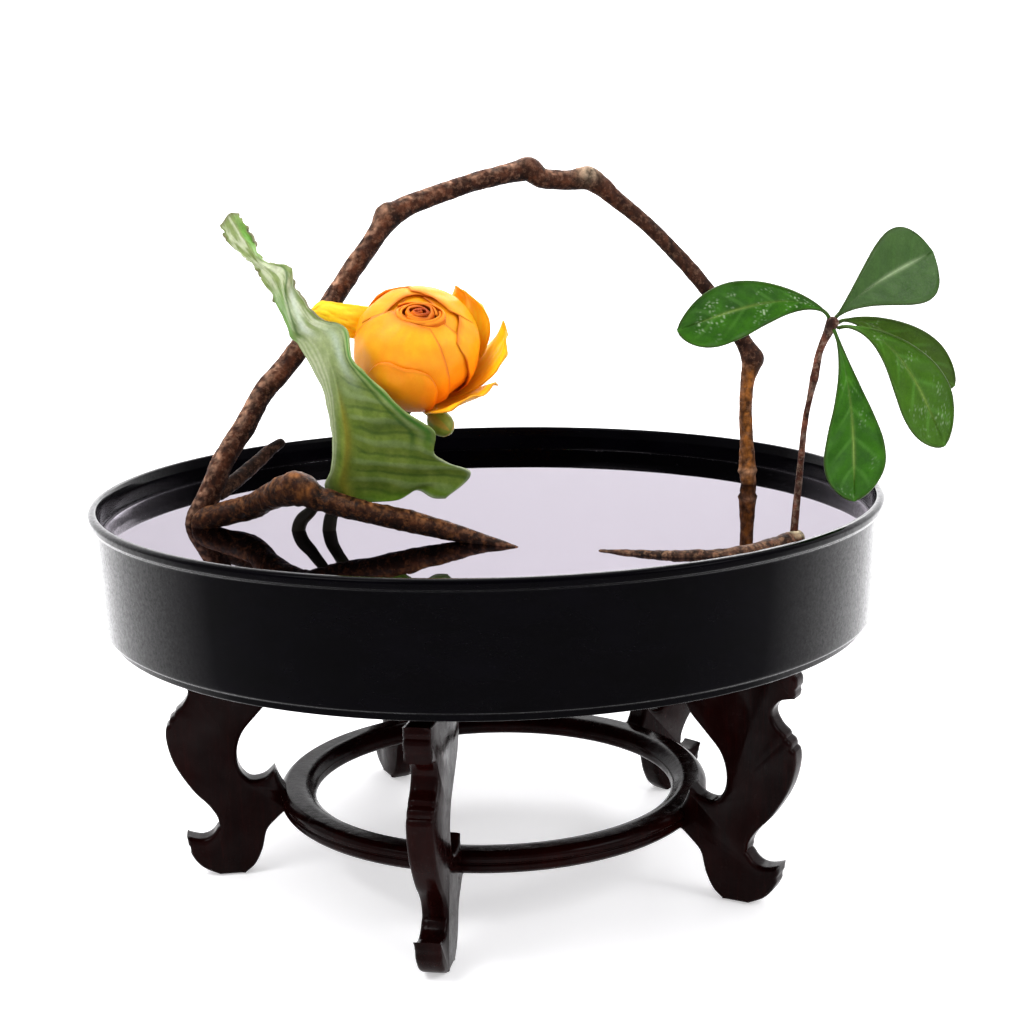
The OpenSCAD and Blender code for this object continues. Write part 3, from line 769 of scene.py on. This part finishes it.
def make_twig():
    def tint(share, angle, p, out):
        tone = shade(p, 3.5)
        c = mix((0.012, 0.006, 0.005), (0.055, 0.028, 0.018), tone)
        return mix(c, (0.016, 0.010, 0.008), smooth(0.8, 1.0, share))
    place(tube("twig_end", TWIG_ROUTE, tint, 22, 0.8,
               bark_radius([((-80.5, 8.5, 29), 2.6, 0.3)], 80, 0.10), ends=(0.5, 0.9)),
          "branch", "bark", BARK, "twig_stub")


# ------------------------------------------------------------------ broad leaf

LEAF_ROWS = [
    [[-93.5, -23, 112], [-90, -24, 116.5], [-86, -25, 116.5]],
    [[-91, -27, 107.5], [-86, -28, 110], [-83.5, -28, 110]],
    [[-86, -31.5, 102.5], [-82.5, -32.5, 105.5], [-79.5, -31.5, 104.5]],
    [[-80.5, -36, 99], [-78.5, -37, 100], [-76, -36, 100]],
    [[-77, -40, 93.5], [-71, -42.5, 95], [-66.5, -41, 98]],
    [[-72, -42.5, 86], [-68.5, -45.5, 87.5], [-64.5, -44.5, 90.5]],
    [[-67.5, -45.5, 74.5], [-63, -48.5, 78.5], [-57, -49.5, 81]],
    [[-64.5, -46.5, 71], [-56.5, -51, 73.5], [-47, -54, 77.5]],
    [[-60, -48.5, 62.5], [-52.5, -53, 64.5], [-45, -56, 67]],
    [[-56.5, -48.5, 54.5], [-50.5, -51.5, 54.5], [-37.5, -55, 58.5]],
    [[-55, -46, 44], [-49.5, -49, 45.5], [-26, -52.5, 46.5]],
    [[-54.5, -43, 35], [-49, -46, 36], [-17.5, -49, 39.5]],
    [[-56, -39, 24.5], [-50.5, -42, 26.5], [-17.5, -45.5, 30]],
    [[-59, -34, 18], [-52, -38, 19], [-6.5, -43, 23]],
    [[-56.5, -32.5, 13.5], [-49.5, -35.5, 12], [-14.5, -40, 13.5]]]


def make_broad_leaf():
    last = len(LEAF_ROWS) - 1

    def fold_at(t):
        """Where across the leaf the neck's fold lies."""
        return lerp(0.9, -0.5, clamp((t - 3.4) / 2.8))

    def pleat(t, v):
        """The lengthwise folds that leave the midrib and run down to the right margin."""
        across = clamp(v)
        return sin((2.1 * t - 2.4 * across + 0.5 * ripple((t, 3 * across, 2), 1.5)) * pi)

    def surface(u, v):
        t = u * last
        left, rib, right = (curve_at([row[k] for row in LEAF_ROWS], t) for k in range(3))
        p = Vector(curve_at([left, rib, right], v + 1))
        body = smooth(6.5, 9.0, t)
        top = smooth(6.6, 5.2, t)
        p.y -= 0.9 * dip(v, 0, 0.07) * body
        p.y -= 0.28 * pleat(t, v) * smooth(0.04, 0.3, v) * body
        p.y -= 1.9 * smooth(0.70, 1.0, v) * smooth(5.5, 7.5, t) * smooth(12.2, 10.2, t)
        p.y += 1.5 * smooth(-0.55, -1.0, v) * body * smooth(13.8, 12.5, t)
        # the dry top is crumpled, and folds over itself at its neck
        p.y -= 1.5 * ripple((t * 1.3, v * 1.6, 5), 1.2, 2) * top
        p.y -= 2.2 * dip(v, fold_at(t), 0.35) * top * smooth(2.6, 3.8, t)
        edge = smooth(0.5, 1.0, abs(v))
        p.x += 1.0 * ripple((t * 1.9, v, 11), 0.8, 2) * edge * (top + 0.25)
        p.z += 0.8 * ripple((t * 1.9, v, 17), 0.8, 2) * edge * top
        # a torn notch and the pointed tail at the foot
        p.z += 3.6 * dip(v, 0.66, 0.11) * smooth(13.1, 14.0, t)
        p.x += 1.4 * smooth(0.8, 1.0, v) * dip(t, 13.0, 0.5)
        p.z += WATER_Z
        return p

    def tint(u, v, p):
        t = u * last
        n = shade((p.x, p.y, p.z * 0.35), 3.2)
        pale = mix((0.25, 0.31, 0.12), (0.41, 0.46, 0.25), n)
        mid = mix((0.125, 0.200, 0.020), (0.250, 0.330, 0.055), n)
        c = mix(pale, mid, smooth(7.0, 10.5, t + 0.8 * v))
        body = smooth(0.02, 0.25, v) * smooth(7.0, 9.0, t)
        line = pleat(t, v)
        # dark in the pleats' hollows and pale on their ridges: painted shade and painted highlight
        # on the folds
        c = mix(c, (0.055, 0.11, 0.018), 0.55 * smooth(-0.80, -1.0, line) * body)
        c = mix(c, (0.36, 0.46, 0.22), 0.35 * smooth(0.35, 1.0, line) * body)
        c = mix(c, (0.05, 0.10, 0.018), 0.55 * dip(t + 0.5 * v, 10.7, 0.30) * smooth(0.1, 0.4, v))
        c = mix(c, (0.18, 0.38, 0.020), smooth(13.2, 14.0, t) * 0.6 * smooth(-0.1, 0.3, v))
        c = mix(c, (0.30, 0.27, 0.030), 0.9 * dip(v, 0.02, 0.07) * smooth(8.4, 10.2, t))
        torn = max(smooth(0.94, 1.0, v) * smooth(11.6, 12.4, t),
                   smooth(13.75, 14.0, t) * smooth(0.45, 0.7, v))
        c = mix(c, (0.50, 0.56, 0.40), 0.75 * torn)
        band = 0.5 + 0.5 * sin(v * 34 + ripple(p, 4))
        side = smooth(-0.10, -0.45, v) * smooth(5.5, 8, t)
        c = mix(c, mix((0.30, 0.36, 0.17), (0.50, 0.54, 0.35), band), 0.85 * side)
        edge = smooth(0.70, 0.82, v) * smooth(6.4, 7.6, t) * smooth(12.0, 10.4, t)
        c = mix(c, mix((0.15, 0.28, 0.045), (0.36, 0.46, 0.18), band), 0.75 * edge)
        c = mix(c, (0.03, 0.24, 0.02), 0.7 * dip(v, 0.9, 0.06) * edge)
        c = mix(c, (0.060, 0.130, 0.012), 0.35 * smooth(10.0, 13.5, t + 0.8 * v) * (1 - n))
        # a dark line where the margin rolls over: painted shade in the crease
        margin_crease_shade = dip(v, 0.70, 0.03) * smooth(6.8, 7.8, t) * smooth(12, 11, t)
        c = mix(c, (0.030, 0.10, 0.015), 0.7 * margin_crease_shade)
        # a whitish patch near the rolled margin: a painted highlight
        c = mix(c, (0.52, 0.60, 0.50), 0.7 * dip(v, 0.45, 0.14) * dip(t, 7.6, 1.1))
        # the dry top
        top = smooth(7.2, 6.0, t)
        streak = smooth(0.35, 0.7, shade((t * 0.7, v * 3.2, 8), 1.0, 3))
        dry = mix((0.20, 0.26, 0.08), (0.54, 0.57, 0.40), streak)
        c = mix(c, dry, 0.9 * top)
        green = smooth(0.0, 0.35, v) * smooth(0.95, 0.7, v) * dip(t, 1.5, 1.1)
        c = mix(c, (0.13, 0.36, 0.035), 0.85 * green)
        fold = fold_at(t)
        # a dark line along the neck's fold: painted shade in the crease
        c = mix(c, (0.07, 0.14, 0.03), 0.85 * dip(v, fold, 0.10) * top * smooth(3.2, 4.0, t))
        beside = smooth(fold, fold - 0.4, v) * smooth(4.2, 5.2, t)
        c = mix(c, (0.12, 0.31, 0.05), 0.6 * beside * top)
        # a whitish streak beside the fold: a painted highlight
        c = mix(c, (0.66, 0.72, 0.62), 0.75 * dip(v, fold + 0.4, 0.2) * top * smooth(4.4, 5.4, t))
        brown = max(smooth(0.90, 1.0, abs(v)), smooth(0.3, 0.0, t))
        return mix(c, (0.16, 0.13, 0.07), 0.75 * top * brown)

    place(sheet("leaf_cloth", surface, 230, 84, lambda u, v: 0.8, tint), "leaf", "broad_leaf",
          BROAD_LEAF, "leaf_blade")


def stem_tint(low, high):
    """A green stem between two greens, darker towards the water."""
    def tint(share, angle, p, out):
        c = mix(low, high, shade(p, 5))
        return mix((0.010, 0.007, 0.003), c, smooth(8, 26, p.z - WATER_Z))
    return tint


def make_stems():
    place(tube("leaf_stalk_round",
               [[-71, -24.5, STEM_FOOT, 3.4], [-70, -25.5, 0, 5.2], [-64.5, -28.5, 8, 4.3],
                [-58.5, -31, 15, 3.2], [-54.5, -36, 22, 2.8], [-52, -40, 27.5, 1.9]],
               stem_tint((0.07, 0.07, 0.02), (0.16, 0.20, 0.06)), 18, 0.9, None, (0.1, 0.8)),
          "leaf", "green_stem", GREEN_STEM, "leaf_stalk")
    place(tube("flower_stem_round",
               [[-60, -26, STEM_FOOT, 3.8], [-58.5, -26.5, 0, 5.2], [-55.5, -26, 9, 4.4],
                [-46.5, -23.5, 22, 4.3], [-36.5, -21, 35.5, 4.5], [-25.5, -21.5, 47.5, 4.9]],
               stem_tint((0.06, 0.09, 0.02), (0.15, 0.20, 0.05)), 18, 0.9,
               lambda s, a, p: 1 + 0.04 * cos(6 * a), (0.1, 0.3)),
          "flower", "green_stem", GREEN_STEM, "flower_stem")


# ------------------------------------------------------------------ flower

FLOWER_AT = Vector((-24, -31.5, 68 + WATER_Z))
HEART_R = 22.5
HEART_SQUASH = 0.95   # the ball's height over its width
CAD_TILT = Euler((radians(27), radians(5), 0)).to_matrix()
HEART_TILT = Euler((radians(43), radians(7), 0)).to_matrix()

OUTER_PETALS = [(42, 25, 1.24, 1.02), (2, 23, 1.42, 0.84), (-44, 30, 1.42, 0.60),
                (172, 12, 1.75, 0.98), (-100, 33, 0.98, 0.80), (106, 42, 1.0, 0.97)]


def petal_tint(deep, rim, seed):
    def tint(u, v, p):
        tone = shade(Vector(p) + Vector((seed * 31, 0, 0)), 7)
        c = mix((0.90, 0.33, 0.003), (0.92, 0.43, 0.010), tone)
        if deep < 0.2:
            c = mix((0.90, 0.66, 0.012), (0.96, 0.76, 0.028), tone)
        low = smooth(6, -19, p.z - FLOWER_AT.z)
        c = mix(c, (0.96, 0.26, 0.005), 2.2 * deep * low)
        c = mix(c, (0.95, 0.20, 0.005), 1.6 * deep * smooth(0.75, 0.0, u))
        vein = 0.5 + 0.5 * sin(v * 21 + 3 * ripple(p, 6))
        c = mix(c, (1.0, 0.30, 0.008), 0.25 * vein)
        # a dark line along the petal's edge: a painted shadow line where it lies over the petals
        # behind
        edge = max(smooth(0.95, 1.0, u), smooth(0.94, 1.0, abs(v)) * smooth(0.3, 0.7, u))
        return mix(c, (0.50, 0.085, 0.006), rim * edge)
    return tint


def shell_petal(name, radius, turn, half, end, seed):
    """A petal on the ball: turn is its direction, half its half width, and end the angle from the
    ball's crown at its tip."""
    def surface(u, v):
        a = radians(lerp(172, end, u) + 6.4 * abs(v) ** 3 * u)
        w = radians(turn + half * lerp(0.75, 1, sin(min(1, u * 1.7) * pi / 2)) * v)
        way = Vector((sin(a) * cos(w), sin(a) * sin(w),
                      HEART_SQUASH * cos(a)))
        r = radius - 0.9 * smooth(0.75, 1, u) + 0.8 * ripple(way * 12, 5.0, 2)
        r += 0.2 * u * ripple((u * 9 + seed * 13, v * 5, seed), 4.0)
        return FLOWER_AT + HEART_TILT @ (way * r)
    return sheet(name, surface, 34, 34, lambda u, v: 0.5 * (0.35 + 0.65 * (1 - u ** 6)),
                 petal_tint(0.3, 0.75, seed))


def crown_petal(name, rho, turn, half, seed):
    """One of the tight petals of the eye at the crown, seen from above as a curved edge."""
    high = HEART_SQUASH * sqrt(HEART_R ** 2 - rho ** 2) - 0.4 - 0.07 * (9 - rho)

    def surface(u, v):
        w = radians(turn + half * v)
        r = rho * (1.10 - 0.08 * u) + 0.35 * v + 0.08 * rho * sin(2 * w + seed)
        r += (0.5 * ripple((v * 4, u * 2, seed * 3.7), 1.6) - 0.7 * smooth(0.86, 1, u)) * u
        h = high * lerp(0.7, 1, u) - 0.7 * abs(v) ** 2.5
        p = Vector((r * cos(w) + 0.5, 0.66 * r * sin(w) - 0.8, h))
        return FLOWER_AT + HEART_TILT @ p

    def tint(u, v, p):
        inner = smooth(6, 1.0, rho)
        c = mix((1.0, 0.34, 0.010), (0.80, 0.12, 0.006), inner * 0.6)
        # the eye's right side and each petal's lower part, deeper in the eye, are painted shade;
        # the dark line at each petal's edge is a painted shadow line
        right = smooth(0.0, 5.0, p.x - FLOWER_AT.x)
        c = mix(c, (0.25, 0.02, 0.006), 0.8 * right * smooth(8, 3, rho))
        c = mix(c, (0.45, 0.06, 0.004), 0.7 * smooth(0.96, 0.8, u))
        return mix(c, (0.36, 0.04, 0.008), (0.3 + 0.5 * inner) * smooth(0.955, 1.0, u))
    return sheet(name, surface, 20, 34, lambda u, v: 0.5, tint)


def make_heart():
    """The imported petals: tight ones in the eye at the crown, then shells that wrap the ball."""
    pieces = []
    for k, (rho, turn, half) in enumerate((
            (0.9, 40, 170), (1.8, 200, 150), (2.7, 320, 145), (3.6, 100, 140), (4.5, 230, 135),
            (5.4, 350, 130), (6.3, 130, 130), (7.2, 255, 125), (8.1, 20, 125))):
        pieces.append(crown_petal("crown_petal_%d" % (k + 1), rho, turn, half, k))
    shells = [(19.6, 95, 86, 15), (20.1, 188, 70, 22), (20.6, 8, 74, 21), (21.1, 262, 84, 12),
              (21.5, 118, 62, 26), (21.8, 172, 44, 42), (22.3, 62, 46, 25), (22.1, 246, 62, 17),
              (22.5, 8, 36, 44)]
    for k, (r, turn, half, end) in enumerate(shells):
        pieces.append(shell_petal("shell_petal_%d" % (k + 1), r, turn, half, end, 20 + k))
    for n, piece in enumerate(pieces):
        place(piece, "flower", "petal", PETAL, *(["flower_heart"] if n == 0 else []))


def make_outer_petals():
    for i, (turn, half, flare, length) in enumerate(OUTER_PETALS):
        def cup(u, v):
            lobes = 0.05 * sin(6.5 * v + 2 + i) + 0.02 * sin(11 * v + i)
            if i > 3:
                lobes = 0.02 * sin(3 * v + i)
            a = radians(-72 + 110 * length * u * (1 - 0.10 * abs(v) ** 3 + lobes * u * u))
            spread = half * (0.35 + 0.65 * sin(min(1, 0.25 + 1.5 * u) * pi / 2))
            if u > 0.75:
                spread *= cos(radians((u - 0.75) * 160))
            w = radians(turn + spread * v)
            size = HEART_R + 1.5
            r = size * (1 + (flare - 1) * u * u)
            h = size * 0.94 * sin(a)
            r -= 0.9 * ripple((u * 8 + i * 7, v * 4, 1), 2.4) * u
            p = Vector((r * cos(a) * cos(w), r * cos(a) * sin(w), h))
            return FLOWER_AT + CAD_TILT @ p

        def tongue(u, v):
            wide = lerp(6.4, 5.2, u) * (1 - smooth(0.72, 1.06, u) ** 2)
            p = Vector((lerp(-13, -37.5, u), 4 - 4 * u, lerp(7, 12.6, u) + wide * v))
            p.y += 2.2 * v * v - 1.5 * sin(pi * u) + 0.8 * ripple((u * 5, v * 3, 2), 1.5)
            return FLOWER_AT + p

        node = "outer_petal_%d" % (i + 1)
        place(sheet("loose_" + node, tongue if i == 3 else cup, 36, 30, lambda u, v: 0.6,
                    petal_tint(0.14 if i < 4 else 0.3, 0.45, 50 + i)),
              "flower", "petal", PETAL, node)


def make_calyx_and_bud():
    def green(x, y, z):
        return mix((0.16, 0.20, 0.02), (0.34, 0.38, 0.06), shade((x, y, z), 3))
    cup = lathe("calyx_cup", rounded([
        (0, 0, 0), (3.0, 0, 0.8), (7.4, 2.2, 1.5), (9.3, 4.3, 0.3), (8.5, 4.1, 0.2), (6, 3, 0.8),
        (0, 2.7, 0)], 4), 72, green)
    base = Matrix.Translation(FLOWER_AT * MM) @ CAD_TILT.to_4x4() @ Matrix.Translation(
        Vector((0, 0, -HEART_R - 1)) * MM)
    cup.data.transform(base)
    place(cup, "flower", "green_stem", GREEN_STEM, "flower_calyx")
    start = Vector((-25, -22.5, 46 + WATER_Z))
    end = Vector((-12, -39, 38 + WATER_Z))
    way = end - start
    long = way.length
    bud = lathe("green_bud", [(0, 0), (1.0, 0.2), (1.0, long - 14), (1.7, long - 12.6),
                              (3.1, long - 10.8), (4.1, long - 9), (4.55, long - 7),
                              (4.4, long - 4.9), (3.7, long - 2.8), (2.4, long - 1.2),
                              (0.9, long - 0.3), (0, long)], 64,
                lambda x, y, z: mix(green(x, y, z), (0.55, 0.26, 0.03),
                                    0.6 * smooth(0.2, 0.9, sin(3 * atan2(y, x)))))
    aim = way.to_track_quat("Z", "Y").to_matrix().to_4x4()
    bud.data.transform(Matrix.Translation(start * MM) @ aim)
    place(bud, "flower", "green_stem", GREEN_STEM, "flower_bud")


# ------------------------------------------------------------------ sprig

SPRIG_LEAVES = [
    [[120, -59.5, 78], [68, -56.5, 74.5], 20, [3, -1, 7.5]],
    [[122.5, -59, 78], [160, -38, 98.5], 28, [-1, -1, 2]],
    [[123, -61, 74.5], [158.5, -70.5, 34.5], 18.5, [3.5, -5.5, 8.5]],
    [[123.5, -58.5, 76], [166, -51, 52.5], 15, [-1, 0, 6.5]],
    [[121.5, -61.5, 74], [127.5, -71.5, 16], 20.5, [2, -4.5, -1]]]


def make_sprig_leaf(i):
    base, tip, wide, bend = SPRIG_LEAVES[i]
    base, tip, bend = Vector(base), Vector(tip), Vector(bend)
    way = (tip - base).normalized()
    across = Vector((way.z, 0, -way.x)).normalized()
    back = i == 1

    def surface(u, v):
        rib = base + (tip - base) * u + bend * sin(pi * u ** 0.75)
        swell, blunt = (2.5, 0.55) if back else (2.2, 0.7)
        half = 0.5 + wide / 2 * sin(pi * min(1, u ** swell)) ** blunt
        p = rib + across * half * v
        p.y -= 0.16 * half * abs(v) - 0.5 * dip(v, 0, 0.08)
        fold = sin((u * 11 - abs(v) * 2.2) * pi) * smooth(0.05, 0.4, abs(v))
        p.y -= (0.08 if back else 0.28) * fold * half / 12
        p.y -= 0.6 * smooth(0.85, 1, abs(v))
        p.z += WATER_Z
        return p

    def tint(u, v, p):
        tone = shade(p, 6)
        c = mix((0.013, 0.066, 0.001), (0.037, 0.148, 0.003), tone)
        if back:
            c = mix((0.030, 0.075, 0.014), (0.052, 0.112, 0.024), tone)
        if i == 2:
            c = mix(c, (0.050, 0.115, 0.004), 0.6)
        if i == 3:
            c = mix(c, (0.058, 0.096, 0.006), 0.65)
        veins = sin((u * 11 - abs(v) * 2.2) * pi)
        c = mix(c, (0.10, 0.27, 0.035), 0.3 * smooth(0.75, 1, veins) * smooth(0.9, 0.3, abs(v))
                * (0.2 if back else 1))
        rib = dip(v, 0, 0.045 + 0.05 * (1 - u)) * smooth(1.0, 0.7, u)
        c = mix(c, (0.30, 0.42, 0.10) if not back else (0.36, 0.46, 0.26), 0.85 * rib)
        c = mix(c, (0.035, 0.055, 0.010), 0.65 * smooth(0.93, 1.0, abs(v)))
        # pale flecks on the shiny parts of the leaf: painted glints
        shine = smooth(0.5, 0.8, shade(p, 9)) * smooth(0.95, 0.5, abs(v))
        fleck = smooth(0.60, 0.78, 0.5 + 0.5 * noise.noise(Vector(p) / 0.6)) * shine
        return mix(c, (0.62, 0.74, 0.52), fleck * (0.0, 0.3, 0.3, 0.2, 0.6)[(i + 4) % 5])

    node = "sprig_leaf_%d" % (i + 1)
    place(sheet("waxy_" + node, surface, 110, 44, lambda u, v: 0.7, tint), "sprig", "sprig_leaf",
          WAXY_LEAF, node)


def make_sprig():
    route = [[108, -58.5, STEM_FOOT, 3.2], [109, -57.5, 0, 3], [111, -56.5, 22.5, 2.4],
             [112.5, -57.5, 41, 2.2], [114, -58.5, 50.5, 2.2], [115.5, -58.5, 57.5, 3],
             [117, -59.5, 66.5, 2.6], [120, -59.5, 73.5, 3.5], [121.5, -59.5, 77, 4.3]]

    def tint(share, angle, p, out):
        tone = shade(p, 3)
        c = mix((0.075, 0.020, 0.012), (0.24, 0.085, 0.050), tone)
        c = mix(c, (0.36, 0.27, 0.22), 0.6 * smooth(0.55, 0.85, shade(p, 5)))
        c = mix(c, (0.04, 0.014, 0.010), smooth(69, 75, p.z - WATER_Z) * 0.8)
        return mix(c, (0.03, 0.01, 0.008), 0.8 * smooth(8, 0, p.z - WATER_Z))

    place(tube("sprig_twig", route, tint, 20, 0.7,
               bark_radius([((115.5, -59.5, 57.5), 1.8, 0.22), ((121, -60.5, 75.5), 2.4, 0.25),
                            ((110.5, -56.5, 18.5), 1.6, 0.10)], 120, 0.06), ends=(0.1, 0.7)),
          "sprig", "bark", TWIG_BARK, "sprig_stem")
    log = [[40, -70.5, -0.5, 2.2], [53, -76.5, -0.5, 3.9], [67, -81, -0.5, 5.2], [80, -80, -1, 6],
           [91, -74.5, -1, 6.3], [101.5, -66, -0.5, 6.5], [110.5, -56.5, 0, 6.5]]

    def log_tint(share, angle, p, out):
        tone = shade(p, 2.6)
        c = mix((0.022, 0.012, 0.009), (0.13, 0.065, 0.040), tone)
        fleck = smooth(0.55, 0.8, shade(p, 1.3))
        c = mix(c, (0.34, 0.15, 0.09), 0.6 * fleck)
        cut = max(smooth(0.985, 1.0, share), smooth(0.93, 0.95, share) * smooth(0.3, 0.5, out.z))
        return mix(c, (0.66, 0.57, 0.38), cut)

    place(tube("bark_log", log, log_tint, 26, 0.7, bark_radius([], 160, 0.13), ends=(0.9, 0.12)),
          "sprig", "bark", LOG_BARK, "sprig_log")


# ------------------------------------------------------------------ studio

def make_studio():
    wide, far, turn, high = 4000, 900, 500, 3000
    bend = [(far + turn * sin(a), turn - turn * cos(a))
            for a in (radians(7.5 * k) for k in range(13))]
    sweep = [(-2500, 0), (0, 0)] + bend + [(far + turn, high)]
    floor = mesh("floor", [(x, y, z - 0.3) for y, z in sweep for x in (-wide, wide)],
                 [(2 * k, 2 * k + 1, 2 * k + 3, 2 * k + 2) for k in range(len(sweep) - 1)])
    floor.data.materials.append(make_floor())

    world = bpy.data.worlds.new("studio")
    world.use_nodes = True
    tree = world.node_tree
    sky = tree.nodes["Background"]
    coord = tree.nodes.new("ShaderNodeTexCoord")
    split = tree.nodes.new("ShaderNodeSeparateXYZ")
    tree.links.new(coord.outputs["Generated"], split.inputs[0])
    ramp = tree.nodes.new("ShaderNodeValToRGB")
    to_unit = tree.nodes.new("ShaderNodeMapRange")
    to_unit.inputs["From Min"].default_value = -1
    tree.links.new(split.outputs["Y"], to_unit.inputs["Value"])
    tree.links.new(to_unit.outputs["Result"], ramp.inputs["Fac"])
    ramp.color_ramp.elements[0].position = 0.10
    ramp.color_ramp.elements[0].color = (0.55, 0.55, 0.57, 1)
    ramp.color_ramp.elements[1].position = 0.5
    ramp.color_ramp.elements[1].color = (1.0, 0.99, 1.0, 1)
    tree.links.new(ramp.outputs["Color"], sky.inputs["Color"])
    sky.inputs["Strength"].default_value = 1.15
    bpy.context.scene.world = world

    aim = Vector((0, 0, 0.13))
    for name, at, size, power in (
            ("key", (-0.75, -0.55, 1.25), 0.6, 11), ("fill", (0.9, -0.5, 0.8), 0.5, 5),
            ("top", (0.0, 0.3, 1.5), 1.0, 10), ("back", (0.2, 1.2, 0.9), 0.8, 7)):
        data = bpy.data.lights.new(name, "AREA")
        data.size = size
        data.energy = power
        lamp = bpy.data.objects.new(name, data)
        lamp.location = at
        lamp.rotation_euler = (aim - Vector(at)).to_track_quat("-Z", "Y").to_euler()
        bpy.context.scene.collection.objects.link(lamp)


def make_camera():
    """The camera stands a little above the rim, looks down on it and is turned a little."""
    pitch, roll = radians(11.59), radians(1.19)
    right = Vector((1, 0, 0))
    up = Vector((0, sin(pitch), cos(pitch)))
    ahead = Vector((0, cos(pitch), -sin(pitch)))
    x = right * cos(roll) - up * sin(roll)
    y = right * sin(roll) + up * cos(roll)
    data = bpy.data.cameras.new("camera")
    data.sensor_width = 36
    data.lens = 63.4
    data.clip_start = 0.01
    data.clip_end = 50
    camera = bpy.data.objects.new("camera", data)
    turn = Matrix((x, y, -ahead)).transposed().to_4x4()
    camera.matrix_world = Matrix.Translation(Vector((9.48, -681.1, RIM_Z + 129.6)) * MM) @ turn
    bpy.context.scene.collection.objects.link(camera)
    bpy.context.scene.camera = camera
    bpy.context.scene.view_settings.view_transform = "Standard"


make_camera()
make_studio()
make_dish()
make_water_disc()
for number in range(5):
    make_leg(number)
make_ring()
make_arch()
make_low_limb()
make_twig()
make_broad_leaf()
make_stems()
make_heart()
make_outer_petals()
make_calyx_and_bud()
for number in range(5):
    make_sprig_leaf(number)
make_sprig()
